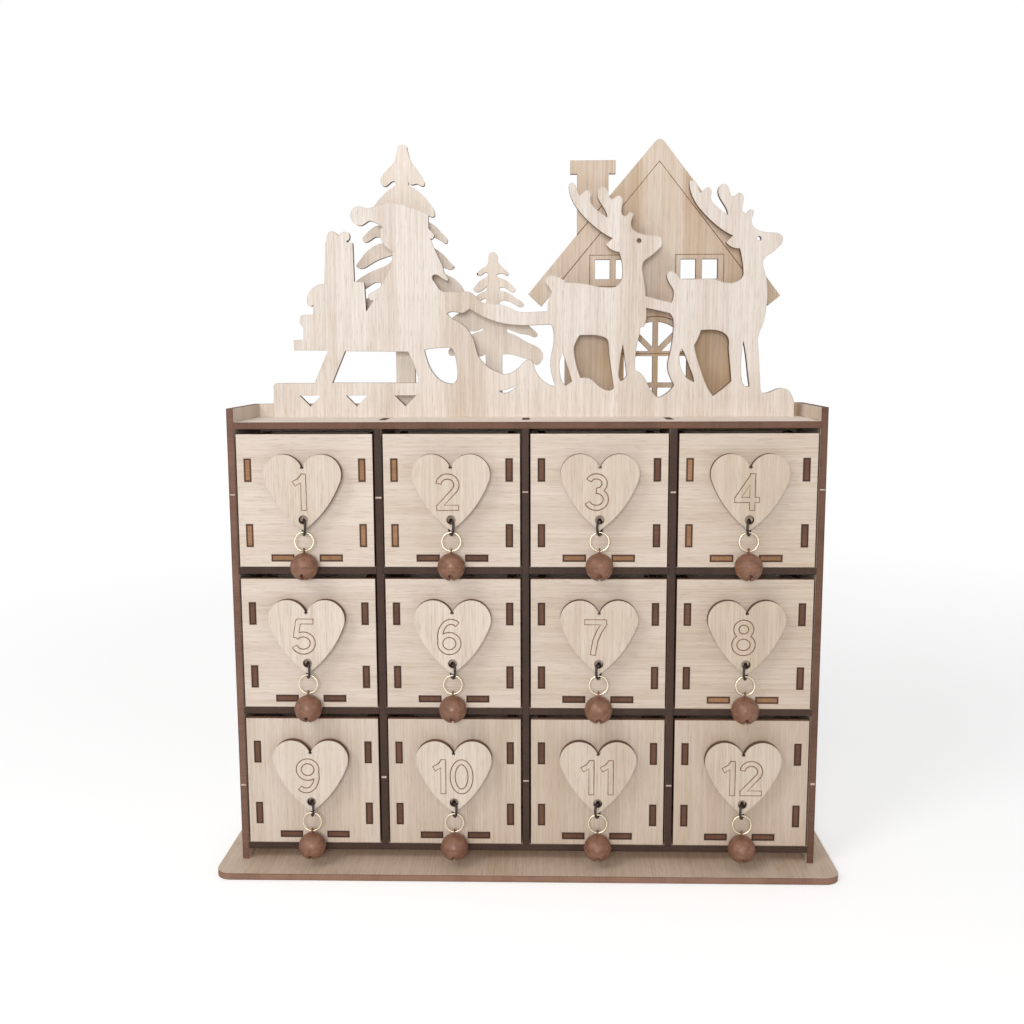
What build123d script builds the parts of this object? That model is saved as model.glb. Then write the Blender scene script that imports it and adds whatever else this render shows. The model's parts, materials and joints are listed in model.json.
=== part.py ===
from build123d import *
import os
from math import asin, cos, degrees, radians, sin, sqrt

# Wooden advent calendar: a plywood cabinet of twelve drawers on a base board, with two scenery sheets on top.
# Millimetres. The origin is under the middle of the base board, +Z is up and the drawers open towards -Y.

# Sheet and fits
PLY = 3.0                    # thickness of every plywood sheet
FIT = 0.1                    # room round a tab in its slot
TAB_PROUD = 1.1              # how far the deck's and the floor's tabs stand out of the sides

# Cabinet
CABINET_WIDTH = 260.0        # over the side panels
CABINET_DEPTH = 50.0         # front of the drawers to the back panel's rear face
CELL_HEIGHT = 61.0           # clear height of one drawer's cell
FLOOR_GAP = 5.0              # air between the base board and the cabinet's floor
SIDE_RISE = 6.0              # side panels above the deck
COLUMNS = 4
ROWS = 3
BOARD_TAB = 10.0             # tabs of the deck, shelves and floor in the sides
BOARD_TAB_PITCH = 24.0
DIVIDER_TAB = 18.0           # tabs of the dividers in the deck and the floor
BACK_TAB = 20.0              # tabs of the back panel in the sides and the base board
BACK_TAB_PITCH = 110.0
FOOT_TAB = 12.0              # tabs of the side panels in the base board
FOOT_TAB_PITCH = 26.0

# Base board
BASE_SIDE_MARGIN = 9.0
BASE_FRONT_MARGIN = 15.0
BASE_CORNER = 7.0

# Drawers
DRAWER_LIFT = 0.3            # running room under a drawer
DRAWER_SIDE_ROOM = 0.825     # running room at each side
DRAWER_HEAD_ROOM = 2.2       # gap above a drawer's front
DRAWER_BACK_ROOM = 1.0       # gap behind a closed drawer
WALL_INSET = 3.2             # edge of the front to the outside of a drawer's side
WALL_DROP = 1.7              # a drawer's sides are lower than its front
BOTTOM_RISE = 2.4            # lower edge of the sides to the drawer's bottom plate
DRAWER_TAB = 10.0
LOW_TAB_RISE = 8.9           # lower edge of the front to the lower upright tab
HIGH_TAB_RISE = 37.8         # and to the upper one
BOTTOM_TAB_PITCH = 21.4

# Heart plaques
HEART_WIDTH = 34.0
HEART_HEIGHT = 33.2
LOBE_RADIUS = 8.65
HEART_SIDE = 46.0            # radius of the curved lower sides
TIP_RADIUS = 0.8
SPACER_RADIUS = 6.0
SPACER_RISE = 15.5           # tip of the heart to the middle of the spacer
HOLE_RADIUS = 1.9            # the ring's hole in the plaque
HOLE_RISE = 4.7              # tip of the heart to that hole

# Rings and bells
BLACK_RADIUS = 3.4           # middle of the wire
BLACK_WIRE = 1.1
BLACK_TURN = 20.0            # the black rings stand askew, the left and the right columns opposite ways
GOLD_RADIUS = 4.1
GOLD_WIRE = 0.7
LINK_ROOM = 0.3              # clear room between two linked wires
LOOP_HOLE = 0.85             # radius of the eye on the bell
LOOP_WIRE = 0.8
LOOP_SINK = 0.3              # how deep the eye's hole sinks into the crown of the bell
BELL_RADIUS = 6.05
BELL_WALL = 0.6
RIM_RADIUS = 0.35            # bead where the two cups meet
RIM_SINK = 0.15              # how deep that bead sits in the wall
SLOT_WIDTH = 1.1             # crossed slots in the lower cup
SLOT_REACH = 4.2             # axis of the bell to the round end of a slot
SLOT_END = 1.1
PELLET_RADIUS = 1.8
PELLET_ROOM = 0.2
BELL_STAND_OFF = 0.45        # bell to the drawer front that it leans against
BELL_HEAD_ROOM = 0.4         # bell to the top edge of the drawer front below

# Scenery
SCENE_GAP = 7.0              # front scenery sheet to the back panel
DRAWN_WIDTH = 254.0          # the scenery outlines are drawn for this width between the sides
DRAWN_DECK = 203.0           # and for a deck at this height
DRAWN_FOOT = 205.0           # trees and house reach down to here, into the back panel
SCENE_TABS = ((-102.0, -80.0), (80.0, 101.0))
NOTCH_WIDTH = 10.0           # three-cornered notches in the bank of snow
NOTCH_DEPTH = 5.0
EYE_RADIUS = 1.0             # the reindeer's eyes
FAN_RADIUS = 14.7            # arched window of the house
FAN_BAR = 2.4                # its glazing bars

# Places that follow from the sizes above
INNER_WIDTH = CABINET_WIDTH - 2 * PLY
FRONT_Y = -CABINET_DEPTH / 2
BACK_Y = CABINET_DEPTH / 2
PANEL_Y = BACK_Y - PLY
CELL_WIDTH = (INNER_WIDTH - (COLUMNS - 1) * PLY) / COLUMNS
COLUMN_PITCH = CELL_WIDTH + PLY
ROW_PITCH = CELL_HEIGHT + PLY
FLOOR_Z = PLY + FLOOR_GAP
LEVELS = [FLOOR_Z + row * ROW_PITCH for row in range(ROWS + 1)]
DECK_TOP = LEVELS[-1] + PLY
SIDE_TOP = DECK_TOP + SIDE_RISE
BOARD_MIDDLE = (FRONT_Y + PANEL_Y) / 2
DIVIDER_PLACES = [(place - COLUMNS / 2) * COLUMN_PITCH for place in range(1, COLUMNS)]
SCENE_Y = PANEL_Y - SCENE_GAP - PLY
DRAWER_WIDTH = CELL_WIDTH - 2 * DRAWER_SIDE_ROOM
DRAWER_HEIGHT = CELL_HEIGHT - DRAWER_LIFT - DRAWER_HEAD_ROOM
DRAWER_END = PANEL_Y - DRAWER_BACK_ROOM

# The chain hangs from the middle of the heart's hole and leans forward, because the bell rests on the front.
GOLD_TOP = 2 * BLACK_RADIUS - BLACK_WIRE / 2 - GOLD_WIRE / 2 - LINK_ROOM
GOLD_BOTTOM = GOLD_TOP + 2 * GOLD_RADIUS
LOOP_DROP = GOLD_BOTTOM + LOOP_HOLE - GOLD_WIRE / 2 - LINK_ROOM
BELL_DROP = LOOP_DROP + LOOP_HOLE - LOOP_SINK + BELL_RADIUS
BELL_GIRTH = BELL_RADIUS + RIM_RADIUS - RIM_SINK
PLAQUE_STAND_OFF = 1.5 * PLY
LEAN = degrees(asin((BELL_GIRTH + BELL_STAND_OFF - PLAQUE_STAND_OFF) / BELL_DROP))
HOLE_HEIGHT = BELL_DROP * cos(radians(LEAN)) + BELL_RADIUS + BELL_HEAD_ROOM - PLY - DRAWER_HEAD_ROOM


def block(low, high):
    """A box between two opposite corners, in any order."""
    middle = [(a + b) / 2 for a, b in zip(low, high)]
    size = [abs(b - a) for a, b in zip(low, high)]
    return Pos(*middle) * Box(*size)


def pair(middle, pitch, length):
    """The two spans of a pair of tabs, set evenly about a middle."""
    centres = [middle + side * pitch / 2 for side in (-1, 1)]
    return [(centre - length / 2, centre + length / 2) for centre in centres]


def roomy(span):
    """The slot for a tab that fills a span."""
    return span[0] - FIT, span[1] + FIT


BOARD_TABS = pair(BOARD_MIDDLE, BOARD_TAB_PITCH, BOARD_TAB)
DIVIDER_SPAN = (BOARD_MIDDLE - DIVIDER_TAB / 2, BOARD_MIDDLE + DIVIDER_TAB / 2)
FOOT_TABS = pair(BOARD_MIDDLE, FOOT_TAB_PITCH, FOOT_TAB)
BACK_SIDE_TABS = pair((PLY + DECK_TOP) / 2, BACK_TAB_PITCH, BACK_TAB)
BACK_FOOT_TABS = pair(0, BACK_TAB_PITCH, BACK_TAB)


def base_board():
    """The base board, with slots for the feet of the sides and of the back panel."""
    width = CABINET_WIDTH + 2 * BASE_SIDE_MARGIN
    depth = CABINET_DEPTH + 2 * BASE_FRONT_MARGIN
    board = extrude(RectangleRounded(width, depth, BASE_CORNER), PLY)
    for side in (-1, 1):
        across = (side * INNER_WIDTH / 2 - side * FIT, side * CABINET_WIDTH / 2 + side * FIT)
        for y0, y1 in map(roomy, FOOT_TABS):
            board -= block((across[0], y0, -PLY), (across[1], y1, 2 * PLY))
    for x0, x1 in map(roomy, BACK_FOOT_TABS):
        board -= block((x0, PANEL_Y - FIT, -PLY), (x1, BACK_Y + FIT, 2 * PLY))
    return board


def side_panel(side):
    """One side panel; side is -1 for the left and 1 for the right."""
    inside = side * INNER_WIDTH / 2
    outside = side * CABINET_WIDTH / 2
    past = outside + side * PLY
    panel = block((inside, FRONT_Y, PLY), (outside, BACK_Y, SIDE_TOP))
    for level in LEVELS:
        for y0, y1 in map(roomy, BOARD_TABS):
            panel -= block((inside - side * PLY, y0, level - FIT), (past, y1, level + PLY + FIT))
    for z0, z1 in map(roomy, BACK_SIDE_TABS):
        panel -= block((inside - side * PLY, PANEL_Y - FIT, z0), (past, BACK_Y + PLY, z1))
    for y0, y1 in FOOT_TABS:
        panel += block((inside, y0, FIT), (outside, y1, PLY))
    return panel


def board(level, proud):
    """A deck, shelf or floor: a sheet with two tabs through each side, standing proud by that much."""
    plank = block((-INNER_WIDTH / 2, FRONT_Y, level), (INNER_WIDTH / 2, PANEL_Y, level + PLY))
    for side in (-1, 1):
        end = side * (CABINET_WIDTH / 2 + proud)
        for y0, y1 in BOARD_TABS:
            plank += block((side * INNER_WIDTH / 2, y0, level), (end, y1, level + PLY))
    return plank


def slotted_board(level):
    """The deck or the floor, with slots for the dividers' tabs."""
    plank = board(level, TAB_PROUD)
    y0, y1 = roomy(DIVIDER_SPAN)
    for x in DIVIDER_PLACES:
        plank -= block((x - PLY / 2 - FIT, y0, level - PLY), (x + PLY / 2 + FIT, y1, level + 2 * PLY))
    return plank


def top_deck():
    """The deck, with slots for the front scenery sheet as well."""
    level = LEVELS[-1]
    plank = slotted_board(level)
    for x0, x1 in map(roomy, scene_tabs()):
        plank -= block((x0, SCENE_Y - FIT, level - PLY), (x1, SCENE_Y + PLY + FIT, level + 2 * PLY))
    return plank


def shelf(level):
    """A shelf, slotted from the front half way back for the dividers."""
    plank = board(level, 0)
    for x in DIVIDER_PLACES:
        half = PLY / 2 + FIT
        plank -= block((x - half, FRONT_Y - PLY, level - PLY), (x + half, BOARD_MIDDLE, level + 2 * PLY))
    return plank


def divider(x):
    """An upright divider, slotted from the back half way forward for the shelves."""
    low, high = LEVELS[0], LEVELS[-1]
    y0, y1 = DIVIDER_SPAN
    plank = block((x - PLY / 2, FRONT_Y, low + PLY), (x + PLY / 2, PANEL_Y, high))
    for start in (low, high):
        plank += block((x - PLY / 2, y0, start), (x + PLY / 2, y1, start + PLY))
    for level in LEVELS[1:-1]:
        plank -= block((x - PLY, BOARD_MIDDLE, level - FIT), (x + PLY, PANEL_Y + PLY, level + PLY + FIT))
    return plank


def drawn(x, z):
    """A point of a scenery outline, carried over to this cabinet's width and deck."""
    return x * INNER_WIDTH / DRAWN_WIDTH, z - DRAWN_DECK + DECK_TOP


class Outline:
    """A scenery outline, made of straight and curved stretches from point to point."""

    def __init__(self, x, z):
        self.first = drawn(x, z)
        self.last = self.first
        self.edges = []

    def straight(self, *points):
        for x, z in points:
            self.edges.append(Line(self.last, drawn(x, z)))
            self.last = drawn(x, z)
        return self

    def curve(self, *points):
        stops = [drawn(x, z) for x, z in points]
        self.edges.append(Spline(self.last, *stops))
        self.last = stops[-1]
        return self

    def arc(self, through, end):
        self.edges.append(ThreePointArc(self.last, drawn(*through), drawn(*end)))
        self.last = drawn(*end)
        return self

    def face(self):
        edges = list(self.edges)
        if self.last != self.first:
            edges.append(Line(self.last, self.first))
        return make_face(edges)


def slit(top, right, foot, left):
    """A narrow gap between two legs: down its right side, along its foot and up its left side."""
    return Outline(*top).curve(*right).curve(*foot).curve(*left, top).face()


def pane(x0, z0, x1, z1):
    """An upright rectangle between two corners."""
    return Outline(x0, z0).straight((x1, z0), (x1, z1), (x0, z1)).face()


def sheet(face, front):
    """A face stood up as a plywood sheet, with its front at that y."""
    return Pos(0, front + PLY, 0) * Rot(90, 0, 0) * extrude(face, PLY)


def scene_tabs():
    """The spans of the front scenery sheet's tabs."""
    return [(drawn(x0, 0)[0], drawn(x1, 0)[0]) for x0, x1 in SCENE_TABS]


def reindeer_head(outline, dx, dz):
    """Ear, antlers, muzzle and jaw of a reindeer, from its nape to its throat."""

    def at(*points):
        return [(x + dx, z + dz) for x, z in points]

    outline.curve(*at((92, 280.3), (90.5, 281.8)))
    outline.straight(*at((93.5, 284.7)))
    outline.curve(*at((90, 286.5), (84, 291), (79, 296), (75, 302), (73.6, 307.3)))
    outline.curve(*at((74.3, 309), (75.5, 309.1), (77.3, 306.5), (78.4, 303.6)))
    outline.curve(*at((80, 304.8), (82, 306), (83.5, 304.5), (83.3, 301.5), (85, 298.5), (88, 296),
                      (91, 293.8)))
    outline.curve(*at((88.5, 299.5), (86.5, 303.8), (87, 306.3), (89, 307.5), (91, 306), (92, 303),
                      (92.8, 302)))
    outline.curve(*at((94.5, 302.6), (96, 303.5), (97.5, 302.6), (97.8, 299), (97.7, 295.3), (98.5, 294.6)))
    outline.curve(*at((100, 295), (101.2, 296.2), (102.4, 295.8), (102, 292.5), (102, 290), (103, 288.3)))
    outline.curve(*at((106, 286.7), (110, 286), (113, 285.8), (115.5, 284.5), (116, 282.5), (115, 280.3)))
    outline.straight(*at((112, 277.5), (108.2, 274.8)))


def front_scene():
    """Front scenery: sleigh with parcels and a driver in a bobble cap, two reindeer and snowy ground."""
    rim = Outline(-118, 203)
    # Bank of snow, tail of the sleigh and the low parcel
    rim.straight((-117.6, 216.5)).curve((-117.3, 218.3), (-116, 219)).straight((-98.4, 219))
    rim.straight((-91.8, 233.8), (-107.4, 234), (-107.6, 238.7), (-103, 239), (-103, 244.5))
    rim.curve((-104.2, 246), (-104.4, 248.5), (-103.6, 250.2)).straight((-98.2, 250.4), (-98, 254.8))
    rim.curve((-99.8, 254.1), (-100.8, 256), (-100.3, 259.5), (-98.5, 262), (-95.5, 263.8), (-92.7, 264.3))
    # Tall parcel with its bow
    rim.straight((-91.6, 282.7)).curve((-91, 285), (-90, 287.3), (-88.5, 287.9), (-86.8, 287),
                                       (-85.5, 285.6))
    rim.curve((-84.2, 287.2), (-82.5, 287.6), (-80.8, 286.6), (-80.6, 284.8), (-82, 282.9))
    rim.straight((-79.2, 282.5), (-78.9, 265.2), (-74.3, 264.9), (-73.6, 251.6))
    # Driver's coat, back of the head and bobble cap
    rim.curve((-71.5, 254.5), (-70.2, 256.4))
    rim.curve((-72.3, 257.9), (-72.5, 259), (-70.8, 260.4), (-68.5, 261.6), (-66.3, 263.6))
    rim.curve((-63.5, 268.5), (-61.5, 274), (-61, 278.3)).straight((-65, 281.6))
    rim.curve((-66.3, 284.5), (-66.5, 287.5), (-65.6, 289.8))
    rim.curve((-68.5, 291.4), (-71.5, 292.2), (-73.2, 291.2), (-75.5, 290.2), (-78.3, 291.3), (-79.9, 294),
              (-79.4, 297), (-77.5, 298.6), (-74.8, 298.6), (-72.5, 298))
    rim.curve((-70, 298.3), (-66, 299.7), (-60, 300.2), (-56, 299.3), (-52.6, 298), (-48.5, 296.8),
              (-44.4, 294.6))
    # Plain nose and beard
    rim.straight((-44.4, 289.6)).curve((-43.2, 287.4), (-41.9, 285.8), (-42.4, 284.4), (-43.6, 283.8))
    rim.curve((-42.4, 281), (-40.4, 276.6), (-38, 271.5))
    # Sleeve and mitten
    rim.curve((-37, 268.2), (-35.5, 266.3)).straight((-35.7, 265.3))
    rim.curve((-38, 266.2), (-40.5, 267.9), (-42, 268.1), (-43, 267.3), (-42.2, 265), (-41, 263.2),
              (-39, 260.9),
              (-37, 260.3))
    rim.straight((-28.6, 260.3))
    # Reins, then the first reindeer's rump, tail, back, neck, head and chest
    rim.curve((-24.6, 259.6), (-22.7, 257.8), (-20.8, 255.6))
    rim.curve((-14, 254.8), (-9, 253.7), (-4, 251.4), (0, 251), (9.7, 251.4))
    rim.curve((10.2, 256), (11.6, 259.8))
    rim.curve((9.5, 263.3), (8.7, 265.6), (10, 267.2), (13, 267.3), (16, 266), (18, 264.2))
    rim.curve((23, 264), (27, 263.6), (31, 262.7), (36, 261.9), (41, 262.4), (43, 264.5), (43.9, 268),
              (43.9, 271),
              (43.4, 274), (42.3, 277.7))
    reindeer_head(rim, -54.3, -0.8)
    rim.curve((52.8, 271), (53.3, 267), (54, 263), (54.4, 258)).curve((60, 256.5), (66.4, 255))
    # The second reindeer
    rim.curve((67.2, 258), (67, 260.8))
    rim.curve((64.8, 264.5), (64.2, 268), (65, 268.9), (66.5, 269), (68.5, 267.5), (69.8, 266))
    rim.curve((77, 265.4), (85, 265.5), (88, 264.6), (91, 263.7), (94, 263.8), (97, 265), (98.7, 267.5))
    rim.curve((98.3, 272), (96.8, 279))
    reindeer_head(rim, 0, 0)
    rim.curve((107.4, 273), (107.8, 270), (108.8, 266.8), (109.5, 262), (109.7, 258), (109.5, 254),
              (109, 249.5),
              (108.3, 245.8), (107, 242.5), (106.2, 240), (106, 237))
    rim.curve((106.5, 232), (107, 225), (107.5, 218.5), (107.8, 215))
    # Snow at the right
    rim.curve((109, 213.9), (110.5, 213.9), (113, 214.7), (115, 215.6), (117.5, 216), (120, 215.4),
              (121.7, 213.6),
              (122.9, 211), (123.3, 208.5))
    rim.straight((123.4, 203))
    face = rim.face()
    for gap in front_scene_gaps():
        face -= gap
    plate = sheet(face, SCENE_Y)
    for x0, x1 in scene_tabs():
        plate += block((x0, SCENE_Y, LEVELS[-1]), (x1, SCENE_Y + PLY, DECK_TOP))
    return plate


def front_scene_gaps():
    """The openings cut through the front scenery sheet."""
    under_sleigh = Outline(-83.8, 233.6).straight((-54.6, 233.2)).curve((-51.8, 226.5), (-50.1, 222))
    under_sleigh.straight((-50, 219), (-90, 219.2))
    runner = Outline(-47, 234).curve((-44, 234.6), (-40, 234.9), (-35, 235))
    runner.curve((-33.6, 233.5), (-32.7, 230.5), (-32, 226), (-31.9, 222), (-32.6, 219.8), (-34.5, 218.5))
    runner.curve((-36.5, 218.8), (-39.5, 220), (-42, 222.3), (-44.5, 226), (-46, 230), (-47, 234))
    ahead = Outline(-36.2, 250.6).curve((-34.5, 251.3), (-32, 251.1), (-29, 250.8), (-27.3, 251.6),
                                        (-26, 252.6))
    ahead.curve((-24.5, 251.6), (-22, 250.1), (-18, 248.3), (-13, 246.5), (-8, 245.5), (0, 245), (6, 245.2),
                (11.5, 245.3))
    ahead.curve((12.2, 243.5), (12.6, 240.5), (12.5, 237), (11.8, 233.5), (11.2, 230), (11.1, 226.5),
                (11.6, 223),
                (12.4, 220), (13.2, 217.2))
    ahead.curve((12, 217.4), (9, 218.8), (6.5, 221), (4.4, 224.2), (3, 228), (1.5, 229.5), (0, 229.2),
                (-2.5, 227),
                (-5.5, 224.3), (-8.5, 223), (-10.5, 222.8))
    ahead.curve((-12.5, 223.6), (-17.5, 226), (-19.5, 227.8), (-22, 231), (-23.3, 235), (-24.8, 240),
                (-26.2, 242.3),
                (-29, 245.3), (-32, 247.3), (-34.8, 248.8), (-36.2, 250.6))
    between = Outline(54.8, 252.6).curve((60, 251.5), (65.5, 250.2))
    between.curve((67, 248), (67.4, 245), (67.2, 241), (66.8, 237), (65.8, 231.5), (64.9, 227), (65.2, 224),
                  (66.5, 220.5), (68, 217.5))
    between.curve((66, 215), (63, 212.8), (60.5, 212.1), (59, 213.3), (57, 216), (55.5, 219),
                  (54, 221.5), (52, 223.5),
                  (50.2, 224.3))
    between.curve((50, 227), (50.2, 231), (50.9, 236.5), (51.8, 240), (52.2, 243.8)).straight((54, 244.3))
    between.curve((54.9, 247.5), (54.8, 252.6))
    first_belly = Outline(24.6, 240.5).curve((30, 240.5), (35, 239.7), (37.2, 238.3), (37.7, 236),
                                             (38.3, 230),
                                             (39.5, 222), (40.3, 216.7))
    first_belly.curve((39.5, 215.6), (37.5, 215.3), (35, 216.2), (32, 218.6), (29.5, 220.7),
                      (26, 221.2), (25, 221))
    first_belly.curve((23.3, 226), (22.2, 231), (22, 235), (22.8, 237.5), (24.6, 240.5))
    second_belly = Outline(80, 242.5).curve((84, 242.7), (88, 242.2), (91, 240.7), (92.5, 238.5),
                                            (92.7, 235),
                                            (93.2, 229), (94.2, 219.3))
    second_belly.straight((90.5, 216), (86, 212.6))
    second_belly.curve((84.5, 214.5), (82, 219.5), (79.5, 226.5), (78, 231), (77, 235.8))
    second_belly.curve((78.5, 238.5), (79.5, 241), (80, 242.5))
    faces = [part.face() for part in (under_sleigh, runner, ahead, between, first_belly, second_belly)]
    # Slits between the legs
    faces.append(slit((16.6, 232.6), ((17.8, 229.5), (19.5, 224.5), (21, 219.5)), ((19.8, 218.7),
                                                                                   (18.3, 217.5)),
                      ((16.5, 219.5), (15.6, 223), (15.3, 227), (15.9, 230.5))))
    faces.append(slit((71.3, 234.2), ((73, 231), (74.5, 227), (76, 223.5), (77.2, 219)), ((75.5, 219.8),
                                                                                          (73.7, 221)),
                      ((71.5, 224.5), (70.5, 228), (70.3, 231))))
    faces.append(slit((44.3, 236.4), ((45.2, 230), (46.2, 222.3)), ((45.3, 220.8), (43.5, 219.5)),
                      ((42.7, 221.5), (42.8, 226), (43.4, 231))))
    faces.append(slit((99.3, 237.6), ((100.3, 233), (101.3, 226), (102.6, 217)), ((101, 216.9),
                                                                                  (99.3, 218.8)),
                      ((98.8, 222), (98.6, 230))))
    # Notches in the bank of snow, and a drift line
    for x in (-100.5, -78.8, -56.2):
        notch = Outline(x - NOTCH_WIDTH / 2, 213.2).straight((x + NOTCH_WIDTH / 2, 213.2),
                                                             (x, 213.2 - NOTCH_DEPTH))
        faces.append(notch.face())
    drift = Outline(-12.6, 215.1).curve((-8, 216), (-3.6, 218.3)).curve((-6.5, 215.6), (-9.5, 214.2),
                                                                        (-12.6, 215.1))
    faces.append(drift.face())
    # Eyes
    for x, z in ((51.2, 282.7), (105.3, 283.3)):
        faces.append(Pos(*drawn(x, z)) * Circle(EYE_RADIUS))
    return faces


def tree(crown, left_tiers, right_tiers, foot_left, foot_right):
    """A fir tree from its crown down: each tier runs out along a branch and back to the trunk."""
    rim = Outline(*crown[0]).curve(*crown[1:])
    sides = []
    for start, tiers, foot in ((crown[0], left_tiers, foot_left), (crown[-1], right_tiers, foot_right)):
        side = Outline(*start)
        for tier in tiers:
            side.straight(tier[0]).curve(*tier[1:])
        side.straight((foot, DRAWN_FOOT))
        sides.append(side)
    trunk = Line(sides[0].last, sides[1].last)
    return make_face([*rim.edges, *sides[0].edges, *sides[1].edges, trunk])


def big_tree():
    """The large fir behind the sleigh."""
    crown = ((-59.2, 325.5), (-58.3, 327.2), (-57, 327.5), (-55.5, 327.2), (-54.8, 325.5))
    right = (
        ((-54, 322.5), (-53, 320), (-51, 317.3), (-49, 314.5), (-47.4, 311.5), (-46.9, 310), (-47.4, 309),
         (-48.8, 309.1), (-50.5, 309.9), (-52, 309.6), (-54.4, 310.8)),
        ((-54.4, 309.3), (-50, 306.7), (-46.5, 303.5), (-43.8, 300), (-42.4, 297), (-42.6, 295.2),
         (-45, 295.3),
         (-49, 297.5), (-51.5, 297)),
        ((-51.5, 295.5), (-47, 293.5), (-42, 290.8), (-38.5, 287), (-36.6, 283.8), (-37, 283.1),
         (-39.5, 284),
         (-43, 285.8), (-48, 285)),
        ((-48, 283.5), (-43, 281), (-38.5, 277.8), (-35, 274), (-33.6, 271.9), (-34.5, 271.3), (-39, 272.2),
         (-44, 272.8), (-49, 271.5)),
        ((-49, 270), (-44, 270.5), (-36, 268.2), (-33, 266.4), (-30.5, 263.7), (-29, 261), (-28.5, 257.8),
         (-30.5, 257), (-36, 258.8), (-42, 259.5), (-47, 258.5)),
        ((-47, 257), (-43, 254.5), (-39.5, 251), (-38, 248), (-39.5, 246.8), (-45, 247.4), (-52.5, 244.5)),
    )
    left = (
        ((-59.9, 322.5), (-60.8, 319.8), (-63, 317.3), (-66, 314.3), (-67.4, 311.5), (-67, 309.8),
         (-65, 308.9),
         (-63.5, 309.8), (-62, 311), (-60.4, 310.9)),
        ((-60.3, 309.4), (-65, 306), (-68.5, 302.5), (-70.5, 300), (-72.5, 296.5), (-71.5, 295),
         (-66, 294)),
        ((-66, 291), (-71, 290.5), (-74.5, 287.5), (-76.3, 285), (-75.5, 283.8), (-73.5, 284),
         (-71.5, 285.3),
         (-70, 286), (-67, 285)),
        ((-66, 283.5), (-70, 282.3), (-75, 278.8), (-78, 275), (-79.2, 272.5), (-78, 271.8), (-74, 272.8),
         (-70.8, 274.8), (-66.7, 276.5), (-62.3, 277.8)),
        ((-62, 276.5), (-65, 273.3), (-70, 271.3), (-75, 269), (-79.5, 266), (-82.5, 262.5), (-80, 261.5),
         (-75.5, 262.5), (-71.5, 265), (-68, 265)),
        ((-68, 261), (-73, 259), (-78, 255), (-81, 250.5), (-82, 248), (-80, 246.8), (-74, 247.6),
         (-67, 246.8),
         (-61.5, 244.5)),
    )
    return tree(crown, left, right, -61.5, -52.5)


def small_tree():
    """The small fir behind the reins."""
    crown = ((-17.7, 276.5), (-16.9, 278.4), (-15.4, 278.9), (-14.1, 278.3), (-13.5, 276))
    right = (
        ((-13.2, 274.3), (-11.5, 272.5), (-9.3, 270.3), (-8.3, 269), (-9, 268.2), (-10.5, 268.9),
         (-12.3, 269.1),
         (-13.9, 268.6)),
        ((-13.5, 267.6), (-9.5, 266), (-6.5, 263.6), (-5.2, 261.3), (-6, 260.6), (-9, 262), (-11, 262.8),
         (-12.6, 262.6)),
        ((-12.6, 261.3), (-8, 260), (-4, 257.3), (-1.3, 254.5), (-2, 253.9), (-5.5, 254.9), (-10.5, 256.8),
         (-12.6, 256.3)),
        ((-12.5, 254), (-8, 252.2), (-3, 249), (1, 245.3), (3.5, 243), (5.2, 240.8), (4.3, 239.8),
         (1, 240.8),
         (-2.5, 241.3), (-6, 242.5), (-9.5, 243.7)),
        ((-9, 242), (-4, 240), (0, 237.6), (4, 235.8), (6.7, 233.8), (7.8, 231), (7, 228.5), (5, 226.8),
         (2, 228.6),
         (-1.5, 230), (-6.5, 231.6), (-11.5, 231.8)),
    )
    left = (
        ((-17.7, 275), (-18.3, 273.3), (-20.5, 271.5), (-22.5, 270), (-23.2, 268.8), (-22, 268.2),
         (-20.5, 268.7),
         (-19.3, 269.6), (-17.9, 269.3)),
        ((-18.3, 267.6), (-21.5, 266), (-24, 263.3), (-24.7, 261.6), (-23.8, 260.8), (-21, 261.3),
         (-18.4, 263.5)),
        ((-18.8, 261.3), (-23, 259.3), (-27, 256), (-29, 253.8), (-28, 253.2), (-24.5, 254.3),
         (-18.8, 257.6)),
        ((-19, 255), (-24, 253.8), (-30, 251.8), (-34.5, 249.2), (-36.3, 246.5), (-35, 244.6),
         (-30, 243.2), (-25, 242.6), (-20.5, 244.4)),
        ((-20.5, 243), (-27, 240.5), (-33, 236.5), (-36.8, 233.2), (-36.5, 231.8), (-33.5, 231.5),
         (-29, 232.5),
         (-24, 231), (-19.3, 232.2)),
    )
    return tree(crown, left, right, -19.3, -11.5)


def house():
    """The house with its chimney; its windows are cut out."""
    rim = Outline(17.8, DRAWN_FOOT)
    rim.straight((17.8, 266.5), (6.9, 253.9), (0.8, 259.6), (23.4, 286.5))
    rim.straight((23.4, 313.8), (20.2, 313.8), (20.2, 319.8), (41, 319.8), (41, 313.8), (37.8, 313.8),
                 (37.8, 303.3))
    rim.straight((58.5, 327.4)).curve((59.6, 328.5), (61, 329), (62.4, 328.5), (63.6, 327.3))
    rim.straight((117.6, 258.4), (112, 253.9), (100, 269.1), (100, DRAWN_FOOT))
    face = rim.face()
    for x0, x1 in ((31.8, 38.7), (41.4, 48.3), (71.3, 78.4), (81.2, 88.5)):
        face -= pane(x0, 266.3, x1, 275.2)
    return face - fan_window()


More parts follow.
